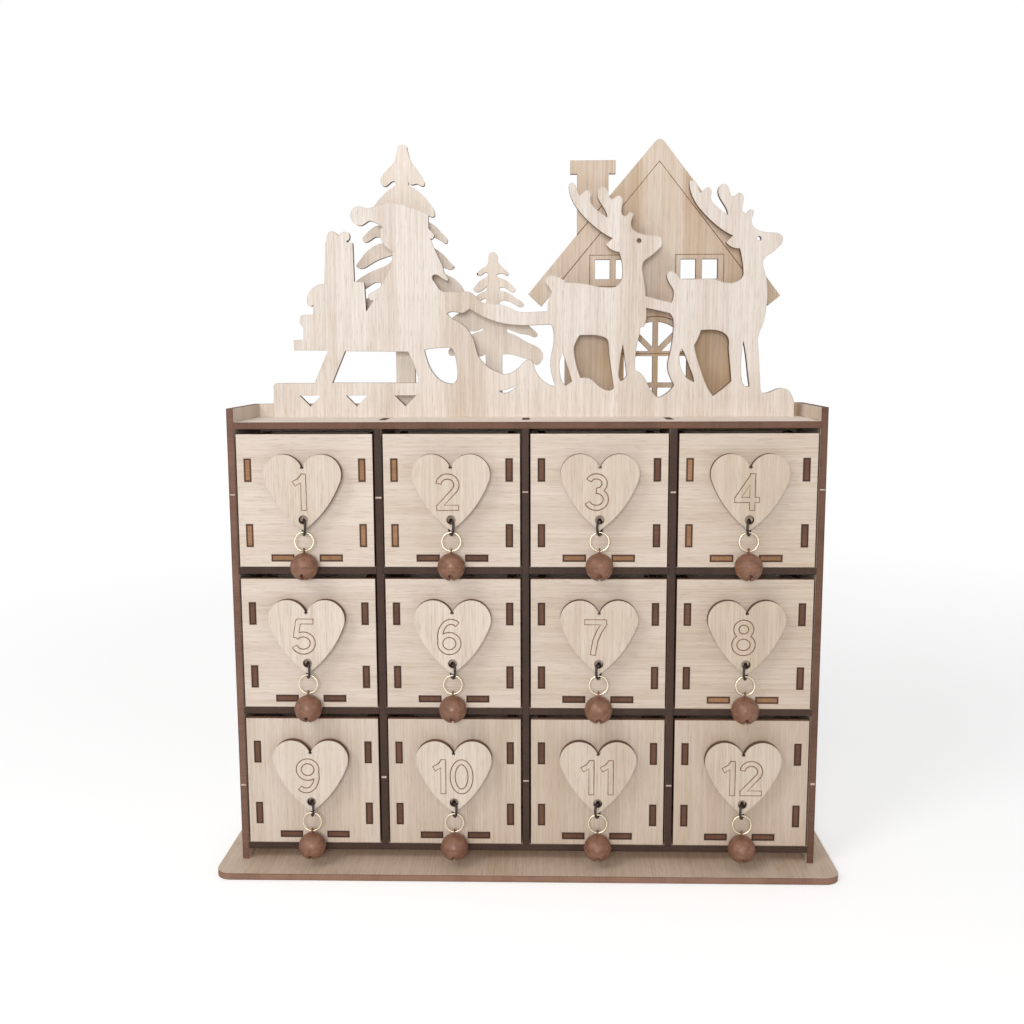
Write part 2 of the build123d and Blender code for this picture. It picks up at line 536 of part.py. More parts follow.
def fan_window():
    """The arched window of the house, less its glazing bars."""
    middle, spring, sill = 60.2, 232.0, 211.0
    left, right = middle - FAN_RADIUS, middle + FAN_RADIUS
    crown = spring + FAN_RADIUS
    light = Outline(left, sill).straight((left, spring)).arc((middle, crown), (right, spring))
    opening = light.straight((right, sill)).face()
    opening -= pane(middle - FAN_BAR / 2, sill - FAN_BAR, middle + FAN_BAR / 2, crown + FAN_BAR)
    for height in (spring, spring - FAN_RADIUS):
        opening -= pane(left - FAN_BAR, height - FAN_BAR / 2, right + FAN_BAR, height + FAN_BAR / 2)
    skew = FAN_BAR * sqrt(0.5)
    for side in (-1, 1):
        spoke = Outline(middle + side * skew, spring).straight((middle + side * FAN_RADIUS, crown - skew))
        spoke.straight((middle + side * (FAN_RADIUS - skew), crown), (middle, spring + skew))
        opening -= spoke.face()
    return opening


def back_panel():
    """The back panel, which carries the trees and the house in one sheet."""
    half = INNER_WIDTH / 2
    face = make_face(Polyline((-half, PLY), (half, PLY), (half, SIDE_TOP), (-half, SIDE_TOP), close=True))
    for figure in (big_tree(), small_tree(), house()):
        face += figure
    plate = sheet(face, PANEL_Y)
    for side in (-1, 1):
        for z0, z1 in BACK_SIDE_TABS:
            plate += block((side * half, PANEL_Y, z0), (side * CABINET_WIDTH / 2, BACK_Y, z1))
    for x0, x1 in BACK_FOOT_TABS:
        plate += block((x0, PANEL_Y, FIT), (x1, BACK_Y, PLY))
    return plate


def drawer():
    """The five plates of a drawer, centred in x, with its lower edge at z = 0."""
    half = DRAWER_WIDTH / 2
    wall_out = half - WALL_INSET
    wall_in = wall_out - PLY
    wall_front, wall_back = FRONT_Y + PLY, DRAWER_END - PLY
    wall_top = DRAWER_HEIGHT - WALL_DROP
    plate_low, plate_high = BOTTOM_RISE, BOTTOM_RISE + PLY
    wall_tabs = [(rise, rise + DRAWER_TAB) for rise in (LOW_TAB_RISE, HIGH_TAB_RISE)]
    cross_tabs = pair(0, BOTTOM_TAB_PITCH, DRAWER_TAB)
    along_tabs = pair((wall_front + wall_back) / 2, BOTTOM_TAB_PITCH, DRAWER_TAB)
    ends = [(FRONT_Y, DRAWER_HEIGHT), (wall_back, wall_top)]
    plates = []
    for y, height in ends:
        end = block((-half, y, 0), (half, y + PLY, height))
        for side in (-1, 1):
            for z0, z1 in map(roomy, wall_tabs):
                near, far = side * (wall_in - FIT), side * (wall_out + FIT)
                end -= block((near, y - PLY, z0), (far, y + 2 * PLY, z1))
        for x0, x1 in map(roomy, cross_tabs):
            end -= block((x0, y - PLY, plate_low - FIT), (x1, y + 2 * PLY, plate_high + FIT))
        plates.append(end)
    for side in (-1, 1):
        wall = block((side * wall_in, wall_front, 0), (side * wall_out, wall_back, wall_top))
        for z0, z1 in wall_tabs:
            wall += block((side * wall_in, FRONT_Y, z0), (side * wall_out, DRAWER_END, z1))
        for y0, y1 in map(roomy, along_tabs):
            wall -= block((side * (wall_in - PLY), y0, plate_low - FIT),
                          (side * half, y1, plate_high + FIT))
        plates.append(wall)
    bottom = block((-wall_in, wall_front, plate_low), (wall_in, wall_back, plate_high))
    for x0, x1 in cross_tabs:
        bottom += block((x0, FRONT_Y, plate_low), (x1, DRAWER_END, plate_high))
    for y0, y1 in along_tabs:
        bottom += block((-wall_out, y0, plate_low), (wall_out, y1, plate_high))
    plates.append(bottom)
    return plates


def heart():
    """A heart plaque and its spacer, centred in x, with the middle of the ring's hole at z = 0."""
    lobe = Vector(HEART_WIDTH / 2 - LOBE_RADIUS, HEART_HEIGHT - LOBE_RADIUS)
    notch = Vector(0, lobe.Y + sqrt(LOBE_RADIUS ** 2 - lobe.X ** 2))
    # The right side's curve runs from the tip and meets the lobe's circle without a kink.
    up = lobe.normalized()
    foot = (HEART_SIDE ** 2 - (HEART_SIDE - LOBE_RADIUS) ** 2 + lobe.length ** 2) / (2 * lobe.length)
    middle = up * foot + Vector(-up.Y, up.X) * sqrt(HEART_SIDE ** 2 - foot ** 2)
    shoulder = middle + (lobe - middle).normalized() * HEART_SIDE
    belly = middle + (shoulder - middle * 2).normalized() * HEART_SIDE
    crest = lobe + Vector(0, LOBE_RADIUS)
    edges = []
    for side in (-1, 1):
        tip, flank, bend, top, dip = [(side * p.X, p.Y) for p in (Vector(), belly, shoulder, crest, notch)]
        edges.append(ThreePointArc(tip, flank, bend))
        edges.append(ThreePointArc(bend, top, dip))
    face = make_face(edges)
    face = fillet(face.vertices().sort_by(Axis.Y)[0], TIP_RADIUS)
    plaque = extrude(face - Pos(0, HOLE_RISE) * Circle(HOLE_RADIUS), PLY)
    spacer = Pos(0, SPACER_RISE, -PLY) * extrude(Circle(SPACER_RADIUS), PLY)
    stand = Pos(0, FRONT_Y - PLY, -HOLE_RISE) * Rot(90, 0, 0)
    return [stand * plaque, stand * spacer]


def rings(turn):
    """The black ring in the heart's hole and the gold ring in the black one, below that hole."""
    askew = Rot(0, 0, turn) * Rot(0, 90, 0)
    black = Pos(0, 0, -BLACK_RADIUS) * askew * Torus(BLACK_RADIUS, BLACK_WIRE / 2)
    gold = Pos(0, 0, -GOLD_TOP - GOLD_RADIUS) * Rot(90, 0, 0) * Torus(GOLD_RADIUS, GOLD_WIRE / 2)
    return [black, gold]


def cup(upper):
    """Half of the bell's round shell, about the bell's middle, with half of the bead where the cups meet."""
    way = 1 if upper else -1
    ball = Sphere(BELL_RADIUS) + Torus(BELL_RADIUS - RIM_SINK, RIM_RADIUS)
    shell = ball - Sphere(BELL_RADIUS - BELL_WALL)
    span = 2 * BELL_RADIUS
    return shell & block((-span, -span, 0), (span, span, way * span))


def bell():
    """A jingle bell hung below the heart's hole: upper cup with its eye, slotted lower cup, loose pellet."""
    middle = Pos(0, 0, -BELL_DROP)
    inner = BELL_RADIUS - BELL_WALL
    eye = Pos(0, 0, -LOOP_DROP) * Rot(0, 90, 0) * Torus(LOOP_HOLE + LOOP_WIRE / 2, LOOP_WIRE / 2)
    upper = middle * cup(True) + (eye - middle * Sphere(inner))
    lower = cup(False)
    cross = Circle(SLOT_END)
    for across in (0, 90):
        cross += Rot(0, 0, across) * Rectangle(2 * SLOT_REACH, SLOT_WIDTH)
        for side in (-1, 1):
            cross += Rot(0, 0, across) * Pos(side * SLOT_REACH, 0) * Circle(SLOT_END)
    lower -= Pos(0, 0, -2 * BELL_RADIUS) * extrude(cross, 2 * BELL_RADIUS)
    pellet = middle * Pos(0, 0, PELLET_ROOM + PELLET_RADIUS - inner) * Sphere(PELLET_RADIUS)
    return [upper, middle * lower, pellet]


def write(name, pieces):
    """Write one node's solids to its STEP file."""
    solids = [solid for piece in pieces for solid in piece.solids()]
    export_step(Compound(children=solids, label=name), f"parts/{name}.step")


def write_cabinet():
    """Write the fixed boards, panels and scenery."""
    write("base_board", [base_board()])
    write("left_side", [side_panel(-1)])
    write("right_side", [side_panel(1)])
    write("back_panel", [back_panel()])
    write("top_deck", [top_deck()])
    write("upper_shelf", [shelf(LEVELS[2])])
    write("lower_shelf", [shelf(LEVELS[1])])
    write("cabinet_floor", [slotted_board(LEVELS[0])])
    for name, x in zip(("left", "middle", "right"), DIVIDER_PLACES):
        write(f"divider_{name}", [divider(x)])
    write("front_scene", [front_scene()])


def write_drawers():
    """Write each drawer with its heart, rings and bell, numbered along the rows from the top left."""
    plates, plaque, jingle = drawer(), heart(), bell()
    for row in range(ROWS):
        for column in range(COLUMNS):
            number = f"{row * COLUMNS + column + 1:02d}"
            x = (column - (COLUMNS - 1) / 2) * COLUMN_PITCH
            floor = LEVELS[ROWS - 1 - row] + PLY
            hole = Pos(x, FRONT_Y - PLAQUE_STAND_OFF, floor + DRAWER_LIFT + HOLE_HEIGHT)
            hang = hole * Rot(-LEAN, 0, 0)
            links = rings(BLACK_TURN if column < COLUMNS / 2 else -BLACK_TURN)
            write(f"drawer_{number}", [Pos(x, 0, floor + DRAWER_LIFT) * plate for plate in plates])
            write(f"heart_{number}", [Pos(x, 0, hole.position.Z) * piece for piece in plaque])
            write(f"rings_{number}", [hang * link for link in links])
            write(f"bell_{number}", [hang * piece for piece in jingle])


os.makedirs("parts", exist_ok=True)
write_cabinet()
write_drawers()
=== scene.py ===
"""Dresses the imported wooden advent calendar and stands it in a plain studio.

Bleached plywood sheets with laser-burnt edges, scored numbers and house lines, wire rings and painted jingle
bells, then floor, light and camera. Metres, +Z up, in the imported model's own frame.
"""

import json
import logging
import random
from dataclasses import dataclass, field
from enum import Enum
from functools import lru_cache
from math import atan2, cos, hypot, pi, radians, sin
from typing import Any, Iterable, Optional, Protocol, Sequence, Union

import bmesh
import bpy
from mathutils import Matrix, Vector
from mathutils.geometry import delaunay_2d_cdt


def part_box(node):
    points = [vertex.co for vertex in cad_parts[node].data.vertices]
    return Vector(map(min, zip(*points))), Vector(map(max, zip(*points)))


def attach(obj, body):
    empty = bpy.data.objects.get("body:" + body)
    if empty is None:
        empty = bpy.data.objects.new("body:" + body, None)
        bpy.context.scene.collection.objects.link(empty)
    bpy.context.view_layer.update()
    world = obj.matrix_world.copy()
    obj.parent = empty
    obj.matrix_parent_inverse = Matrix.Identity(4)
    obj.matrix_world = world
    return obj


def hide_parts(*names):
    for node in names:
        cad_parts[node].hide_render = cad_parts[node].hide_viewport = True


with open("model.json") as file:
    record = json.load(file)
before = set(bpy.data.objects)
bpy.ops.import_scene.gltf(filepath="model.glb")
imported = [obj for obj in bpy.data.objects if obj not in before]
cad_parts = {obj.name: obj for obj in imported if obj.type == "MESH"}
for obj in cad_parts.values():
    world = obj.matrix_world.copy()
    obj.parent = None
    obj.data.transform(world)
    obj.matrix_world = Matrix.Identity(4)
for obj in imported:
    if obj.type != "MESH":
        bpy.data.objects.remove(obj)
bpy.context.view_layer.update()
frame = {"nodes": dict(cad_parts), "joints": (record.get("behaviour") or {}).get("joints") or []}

log = logging.getLogger("advent_calendar")

MM = 0.001
WELD = 1e-7
SQUARE_ON = 0.9     # a face looks along an axis where its normal has more than this share of it
DRAWERS = 12
LINE_HEIGHT = 0.08 * MM
RING_STEPS = 72
WIRE_STEPS = 20
NOISE_ROUGHNESS = 0.55
SMALLEST_NIB = (0.75, 0.8, 0.7)
LARGEST_NIB = (1.1, 1.1, 1.2)

RGB = tuple[float, float, float]
Place = tuple[float, float, float]
Point = tuple[float, float]
Path = tuple[Sequence[Point], bool]
Number = Union["Shade", float]


class Axis(Enum):
    """A direction of the model's frame."""

    X = 0
    Y = 1
    Z = 2


class Slot(Enum):
    """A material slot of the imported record."""

    PLYWOOD = "plywood"
    SCENERY = "scenery_plywood"
    WIRE = "ring_wire"
    BELL = "bell_paint"


def srgb(red: int, green: int, blue: int) -> RGB:
    """Turns a display colour into the linear one that shaders take.

    Args:
        red, green, blue: display values from 0 to 255.

    Returns:
        The linear colour.
    """
    def linear(value: int) -> float:
        """Undoes the display curve for one channel."""
        share = value / 255
        return share / 12.92 if share <= 0.04045 else ((share + 0.055) / 1.055) ** 2.4

    return linear(red), linear(green), linear(blue)


# --- Shader trees -------------------------------------------------------------------------------------------


class Shade:
    """A shader value; arithmetic on it adds Math nodes to its tree."""

    def __init__(self, tree: "ShaderTree", socket: bpy.types.NodeSocket) -> None:
        """Keeps the socket and the tree that it belongs to."""
        self.tree = tree
        self.socket = socket

    def _math(self, operation: str, first: Number, second: Number = 0.0) -> "Shade":
        """Adds one Math node.

        Args:
            operation: the Math node's operation.
            first, second: what it works on.

        Returns:
            The node's result.
        """
        return self.tree.shade("ShaderNodeMath", {"operation": operation}, {0: first, 1: second})

    def __add__(self, other: Number) -> "Shade":
        """This value plus another."""
        return self._math("ADD", self, other)

    def __radd__(self, other: Number) -> "Shade":
        """A number plus this value."""
        return self._math("ADD", other, self)

    def __sub__(self, other: Number) -> "Shade":
        """This value less another."""
        return self._math("SUBTRACT", self, other)

    def __rsub__(self, other: Number) -> "Shade":
        """A number less this value."""
        return self._math("SUBTRACT", other, self)

    def __mul__(self, other: Number) -> "Shade":
        """This value times another."""
        return self._math("MULTIPLY", self, other)

    def __rmul__(self, other: Number) -> "Shade":
        """A number times this value."""
        return self._math("MULTIPLY", other, self)

    def __abs__(self) -> "Shade":
        """The value without its sign."""
        return self._math("ABSOLUTE", self)

    def larger(self, other: Number) -> "Shade":
        """The larger of this value and another."""
        return self._math("MAXIMUM", self, other)

    def between(self, low: float, high: float) -> "Shade":
        """Eases from 0 at one value to 1 at another.

        Args:
            low, high: where the easing starts and ends.

        Returns:
            The eased value, from 0 to 1.
        """
        settings = {"interpolation_type": "SMOOTHSTEP"}
        return self.tree.shade("ShaderNodeMapRange", settings, {"Value": self, 1: low, 2: high})


class NodeTree:
    """A node tree that is filled from code."""

    def __init__(self, tree: bpy.types.NodeTree) -> None:
        """Keeps the tree's nodes and links."""
        self.nodes = tree.nodes
        self.links = tree.links

    def node(self, kind: str, settings: Optional[dict[str, Any]] = None,
             sockets: Optional[dict[Union[str, int], Any]] = None) -> bpy.types.Node:
        """Adds a node, sets what it does, then fills its sockets.

        Args:
            kind: the node's type.
            settings: the node's own settings.
            sockets: values or links by socket name or number.

        Returns:
            The node.
        """
        node = self.nodes.new(kind)
        for name, value in (settings or {}).items():
            setattr(node, name, value)
        for name, value in (sockets or {}).items():
            socket = node.inputs[name]
            if isinstance(value, Shade):
                value = value.socket
            if isinstance(value, bpy.types.NodeSocket):
                self.links.new(value, socket)
            elif socket.type == "RGBA":
                socket.default_value = (*value, 1.0)
            else:
                socket.default_value = value
        return node


class ShaderTree(NodeTree):
    """The node tree of a material or of the world."""

    def __init__(self, owner: Union[bpy.types.Material, bpy.types.World]) -> None:
        """Takes over the owner's node tree and empties it.

        Args:
            owner: the material or world.
        """
        owner.use_nodes = True
        super().__init__(owner.node_tree)
        self.owner = owner
        self.nodes.clear()

    def shade(self, kind: str, settings: Optional[dict[str, Any]] = None,
              sockets: Optional[dict[Union[str, int], Any]] = None, output: Union[str, int] = 0) -> Shade:
        """Adds a node and wraps one of its outputs.

        Args:
            kind, settings, sockets: as for node.
            output: the output's name or number.

        Returns:
            The output, ready for arithmetic.
        """
        return Shade(self, self.node(kind, settings, sockets).outputs[output])

    def attribute(self, name: str, output: str = "Fac") -> Shade:
        """Reads one of the piece's own attributes."""
        settings = {"attribute_type": "GEOMETRY", "attribute_name": name}
        return self.shade("ShaderNodeAttribute", settings, None, output)

    def blend(self, share: Number, first: Any, second: Any) -> bpy.types.NodeSocket:
        """Mixes two colours.

        Args:
            share: how much of the second one shows.
            first, second: colours or colour sockets.

        Returns:
            The mixed colour's socket.
        """
        settings = {"data_type": "RGBA", "clamp_factor": True}
        return self.node("ShaderNodeMix", settings, {0: share, 6: first, 7: second}).outputs[2]

    def noise(self, place: bpy.types.NodeSocket, grain_mm: Sequence[float], shift: float,
              detail: float = 2.0) -> Shade:
        """Adds noise whose grains have given lengths along the three axes.

        Args:
            place: the position to read.
            grain_mm: size of a grain along x, y and z.
            shift: moves the pattern, so that two layers differ.
            detail: octaves of the noise.

        Returns:
            The noise, from 0 to 1.
        """
        scale = [1 / (size * MM) for size in grain_mm]
        mapping = self.node("ShaderNodeMapping", None,
                            {"Vector": place, "Location": (shift, shift, shift), "Scale": scale})
        sockets = {"Vector": mapping.outputs[0], "Scale": 1.0, "Detail": detail, "Roughness": NOISE_ROUGHNESS}
        return self.shade("ShaderNodeTexNoise", None, sockets)

    def surface(self, sockets: dict[str, Any]) -> None:
        """Ends a material in a Principled shader with these sockets."""
        shader = self.node("ShaderNodeBsdfPrincipled", None, sockets)
        self.node("ShaderNodeOutputMaterial", None, {"Surface": shader.outputs[0]})


def fresh_material(name: str) -> tuple[ShaderTree, bpy.types.NodeSocket]:
    """Starts a material.

    Args:
        name: the material's name.

    Returns:
        Its tree, and the Object coordinates for its patterns.
    """
    tree = ShaderTree(bpy.data.materials.new(name))
    return tree, tree.node("ShaderNodeTexCoord").outputs["Object"]


class Finish(Protocol):
    """A finish that makes its own material."""

    def material(self) -> bpy.types.Material:
        """Makes the material."""


@lru_cache(maxsize=None)
def painted(finish: Finish) -> bpy.types.Material:
    """Makes a finish's material once and hands out the same one afterwards."""
    return finish.material()


# --- Finishes -----------------------------------------------------------------------------------------------


@dataclass(frozen=True)
class FaceTone:
    """Colours of a veneer's face, and how strongly its grain shows."""

    name: str
    pale: RGB
    tan: RGB
    pore: RGB
    figure: float


@dataclass(frozen=True)
class CutEdge:
    """Colours of a laser-cut edge."""

    name: str
    burnt: RGB
    char: RGB


CREAM = FaceTone("cream", srgb(231, 217, 204), srgb(199, 179, 159), srgb(166, 140, 120), 0.8)
HEARTWOOD = FaceTone("heartwood", srgb(228, 214, 200), srgb(198, 179, 158), srgb(168, 142, 120), 0.9)
BLEACHED = FaceTone("bleached", srgb(236, 227, 219), srgb(204, 186, 168), srgb(174, 151, 133), 1.0)
# painted light and shade: the rear sheet's pale is lifted to cancel the shade behind the front sheet; its tan
# is the house's hue, which the house patches also use as painted shade
REAR_PAINTED_LIGHT_AND_SHADE = FaceTone("weathered", srgb(241, 230, 219), srgb(186, 156, 122), srgb(164, 135, 109), 0.5)
# painted light: paler than the other boards, so the deck's top reads as lit from above
DECK_PAINTED_LIGHT_TONE = FaceTone("deck", srgb(248, 235, 221), srgb(222, 203, 183), srgb(190, 166, 144), 0.7)
BOARD_TONE = FaceTone("board", srgb(222, 203, 184), srgb(192, 165, 138), srgb(156, 127, 104), 0.9)

MID_EDGE = CutEdge("brown", srgb(156, 120, 100), srgb(104, 75, 60))
SIDE_EDGE = CutEdge("side", srgb(130, 97, 81), srgb(88, 62, 50))
TAB_EDGE = CutEdge("tab", srgb(170, 128, 92), srgb(82, 53, 39))
BURNT_TAB_EDGE = CutEdge("burnt_tab", srgb(114, 79, 61), srgb(64, 42, 33))
# burnt, and darkened further with painted shade so that the lower cut edges stay dark under the floor's
# bounced light
SCENE_EDGE = CutEdge("scene", srgb(128, 97, 78), srgb(88, 63, 51))
# burnt edge plus painted shade: darker than the burn alone, for the hearts' edges and the right side's front
# edge, on the side away from the key lamp
PLAQUE_EDGE_AND_PAINTED_SHADE = CutEdge("plaque", srgb(116, 84, 66), srgb(74, 51, 40))
DECK_EDGE = CutEdge("umber", srgb(120, 86, 70), srgb(76, 53, 43))
DARK_EDGE = CutEdge("charred", srgb(74, 54, 45), srgb(40, 29, 25))


@dataclass(frozen=True)
class Streak:
    """A strip of tanner heartwood that runs with an upright grain, from one x to another."""

    start: float
    end: float
    share: float
    fade: float = 2.5


@dataclass(frozen=True)
class Figure:
    """One layer of a veneer's grain: its sizes in millimetres, where its pattern starts and its octaves."""

    across: float
    along: float
    shift: float
    detail: float = 2.0


BANDS = Figure(9.0, 240.0, 3.1, 3.0)
FIBRE = Figure(0.8, 42.0, 7.7)
PORES = Figure(0.42, 7.5, 1.3)
BLOTCH = Figure(30.0, 30.0, 5.9)
KERF = Figure(0.45, 9.0, 2.2)
DRIFT = Figure(13.0, 13.0, 8.8)


@dataclass(frozen=True)
class Veneer:
    """Plywood: fine grain on the faces, laser-burnt brown on the cut edges, a breath of scorch beside cuts,
    and painted light and shade wherever a sheet's tone or its edge colours carry it.

    The piece's mesh carries the attributes that it reads: scorch (how strongly a cut rim is scorched), depth
    (0 to 1 through the sheet), char (1 round a tab's end), tone (how tan the sheet is: its own tone,
    plus painted light and shade where the caller adds them) and cut (where in the veneer it was cut from).
    """

    name: str
    through: Axis
    grain: Axis
    face: FaceTone
    edge: CutEdge
    streaks: tuple[Streak, ...] = ()
    band_sway: float = 6 * MM
    fibre_sway: float = 2 * MM
    shine: float = 0.3
    roughness: float = 0.56
    pit_roughness: float = 0.12
    cut_roughness: float = 0.16
    relief: float = 0.35
    relief_depth: float = 0.08 * MM

    def _layer(self, tree: ShaderTree, place: bpy.types.NodeSocket, figure: Figure, run: Axis) -> Shade:
        """Adds one layer of the grain.

        Args:
            tree: the material's tree.
            place: the position to read.
            figure: the layer.
            run: the axis that it runs along.

        Returns:
            The layer's noise, from 0 to 1.
        """
        sizes = [figure.along if axis is run else figure.across for axis in Axis]
        return tree.noise(place, sizes, figure.shift, figure.detail)

    def material(self) -> bpy.types.Material:
        """Makes the plywood of this sheet's directions and colours.

        Returns:
            The material.
        """
        tree = ShaderTree(bpy.data.materials.new(self.name))
        spots = tree.node("ShaderNodeTexCoord").outputs
        own = tree.node("ShaderNodeVectorMath", {"operation": "ADD"},
                        {0: spots["Object"], 1: tree.attribute("cut", "Vector")}).outputs[0]
        tone, scorch, depth, char = (tree.attribute(name) for name in ("tone", "scorch", "depth", "char"))
        bands, fibre, pores, blotch, drift = (self._layer(tree, own, figure, self.grain)
                                              for figure in (BANDS, FIBRE, PORES, BLOTCH, DRIFT))
        kerf = self._layer(tree, own, KERF, self.through)

        # the face: tan where the figure, the blotches, the streaks of heartwood and tone say so; that
        # attribute carries painted light and shade as well as the sheet's own tone
        figure = bands.between(0.38, 0.72) * 0.32 + fibre.between(0.32, 0.68) * 0.36 + pores * 0.12
        tan = figure * self.face.figure + blotch.between(0.45, 0.75) * 0.16 + tone
        along = tree.shade("ShaderNodeSeparateXYZ", None, {0: spots["Object"]})
        along = along + (bands - 0.5) * self.band_sway + (fibre - 0.5) * self.fibre_sway
        for streak in self.streaks:
            rise = along.between((streak.start - streak.fade) * MM, streak.start * MM)
            fall = along.between(streak.end * MM, (streak.end + streak.fade) * MM)
            tan = tan + (rise - fall) * streak.share
        pits = pores.between(0.54, 0.7)
        face = tree.blend(tan, self.face.pale, self.face.tan)
        face = tree.blend(pits * (0.36 * self.face.figure), face, self.face.pore)
        face = tree.blend(scorch * scorch * (0.35 + blotch * 0.6), face, self.edge.char)

        # the cut edge: charred by the laser, most of all along its two arrises; some edge colours also carry
        # painted shade
        arris = abs(depth - 0.5).between(0.3, 0.5)
        charred = kerf.between(0.3, 0.75) * 0.3 + drift.between(0.35, 0.7) * 0.3 + arris * 0.5
        edge = tree.blend(charred + char.between(0.15, 0.6), self.edge.burnt, self.edge.char)

        turned = tree.shade("ShaderNodeSeparateXYZ", None, {0: spots["Normal"]}, self.through.value)
        cut = 1 - abs(turned).between(0.5, 0.8)
        relief = (1 - cut) * (fibre * 0.5 - pits * 0.8) + cut * kerf
        bump = tree.node("ShaderNodeBump", None,
                         {"Strength": self.relief, "Distance": self.relief_depth, "Height": relief})
        rough = self.roughness + pits * self.pit_roughness + cut * self.cut_roughness
        tree.surface({"Base Color": tree.blend(cut, face, edge), "Specular IOR Level": self.shine,
                      "Roughness": rough, "Normal": bump.outputs[0]})
        return tree.owner


@dataclass(frozen=True)
class DullWood:
    """Wood with no shine in two mingled colours, such as a scored groove or a torn nib."""

    name: str
    first: RGB
    second: RGB
    patch_mm: float
    shift: float
    roughness: float
    roughness_rise: float
    shine: float = 0.2

    def material(self) -> bpy.types.Material:
        """Mingles the two colours.

        Returns:
            The material.
        """
        tree, place = fresh_material(self.name)
        share = tree.noise(place, (self.patch_mm,) * 3, self.shift, 3.0).between(0.35, 0.7)
        tree.surface({"Base Color": tree.blend(share, self.first, self.second),
                      "Specular IOR Level": self.shine,
                      "Roughness": self.roughness + share * self.roughness_rise})
        return tree.owner


SCORED_LINE = DullWood("scored_line", srgb(152, 116, 88), srgb(112, 81, 59), 1.6, 4.4, 0.72, 0.1)
BARE_NIB = DullWood("bare_nib", srgb(212, 194, 180), srgb(176, 150, 134), 0.3, 6.1, 0.7, 0.15)


@dataclass(frozen=True)
class BellPaint:
    """Rust-brown paint on a pressed bell, nearly dull, a little mottled and flecked with copper."""

    name: str = "bell_rust_paint"
    rust: RGB = srgb(141, 99, 76)
    deep: RGB = srgb(105, 71, 54)
    worn: RGB = srgb(182, 137, 107)
    mottle_mm: float = 2.4
    fleck_mm: float = 0.4
    peel_mm: float = 0.55
    metallic: float = 0.1
    roughness: float = 0.38
    mottle_roughness: float = 0.12
    relief: float = 0.12
    relief_depth: float = 0.06 * MM

    def material(self) -> bpy.types.Material:
        """Mottles and flecks the paint.

        Returns:
            The material.
        """
        tree, place = fresh_material(self.name)
        mottle = tree.noise(place, (self.mottle_mm,) * 3, 1.7, 4.0).between(0.3, 0.72)
        fleck = tree.noise(place, (self.fleck_mm,) * 3, 9.2).between(0.62, 0.74)
        peel = tree.noise(place, (self.peel_mm,) * 3, 3.3)
        paint = tree.blend(mottle * 0.8, self.rust, self.deep)
        paint = tree.blend(fleck * 0.35, paint, self.worn)
        bump = tree.node("ShaderNodeBump", None,
                         {"Strength": self.relief, "Distance": self.relief_depth, "Height": peel})
        rough = self.roughness + mottle * self.mottle_roughness
        tree.surface({"Base Color": paint, "Metallic": self.metallic, "Roughness": rough,
                      "Normal": bump.outputs[0]})
        return tree.owner


@dataclass(frozen=True)
class WireFinish:
    """Drawn wire: plated, or painted and rubbed a little."""

    name: str
    colour: RGB
    rubbed: RGB
    metallic: float
    roughness: float
    rub_mm: float = 0.9
    rub_share: float = 0.5
    rub_roughness: float = 0.15

    def material(self) -> bpy.types.Material:
        """Rubs the wire a little.

        Returns:
            The material.
        """
        tree, place = fresh_material(self.name)
        rub = tree.noise(place, (self.rub_mm,) * 3, 2.9, 3.0).between(0.5, 0.78)
        tree.surface({"Base Color": tree.blend(rub * self.rub_share, self.colour, self.rubbed),
                      "Metallic": self.metallic, "Roughness": self.roughness + rub * self.rub_roughness})
        return tree.owner


BLACK_WIRE = WireFinish("black_wire", srgb(50, 43, 39), srgb(94, 80, 71), 0.4, 0.36)
GOLD_WIRE = WireFinish("gold_wire", srgb(224, 210, 184), srgb(186, 160, 122), 1.0, 0.34)


@dataclass(frozen=True)
class Ring:
    """A wire ring: its size to the wire's middle, its drop below the heart's hole and where its cut is."""

    name: str
    radius: float
    wire: float
    drop: float
    start: float
    finish: WireFinish


BLACK_RING = Ring("black", 3.4 * MM, 0.55 * MM, 0.0, 0.6, BLACK_WIRE)
GOLD_RING = Ring("gold", 4.1 * MM, 0.35 * MM, 5.6 * MM, 0.4, GOLD_WIRE)


# --- Geometry Nodes -----------------------------------------------------------------------------------------


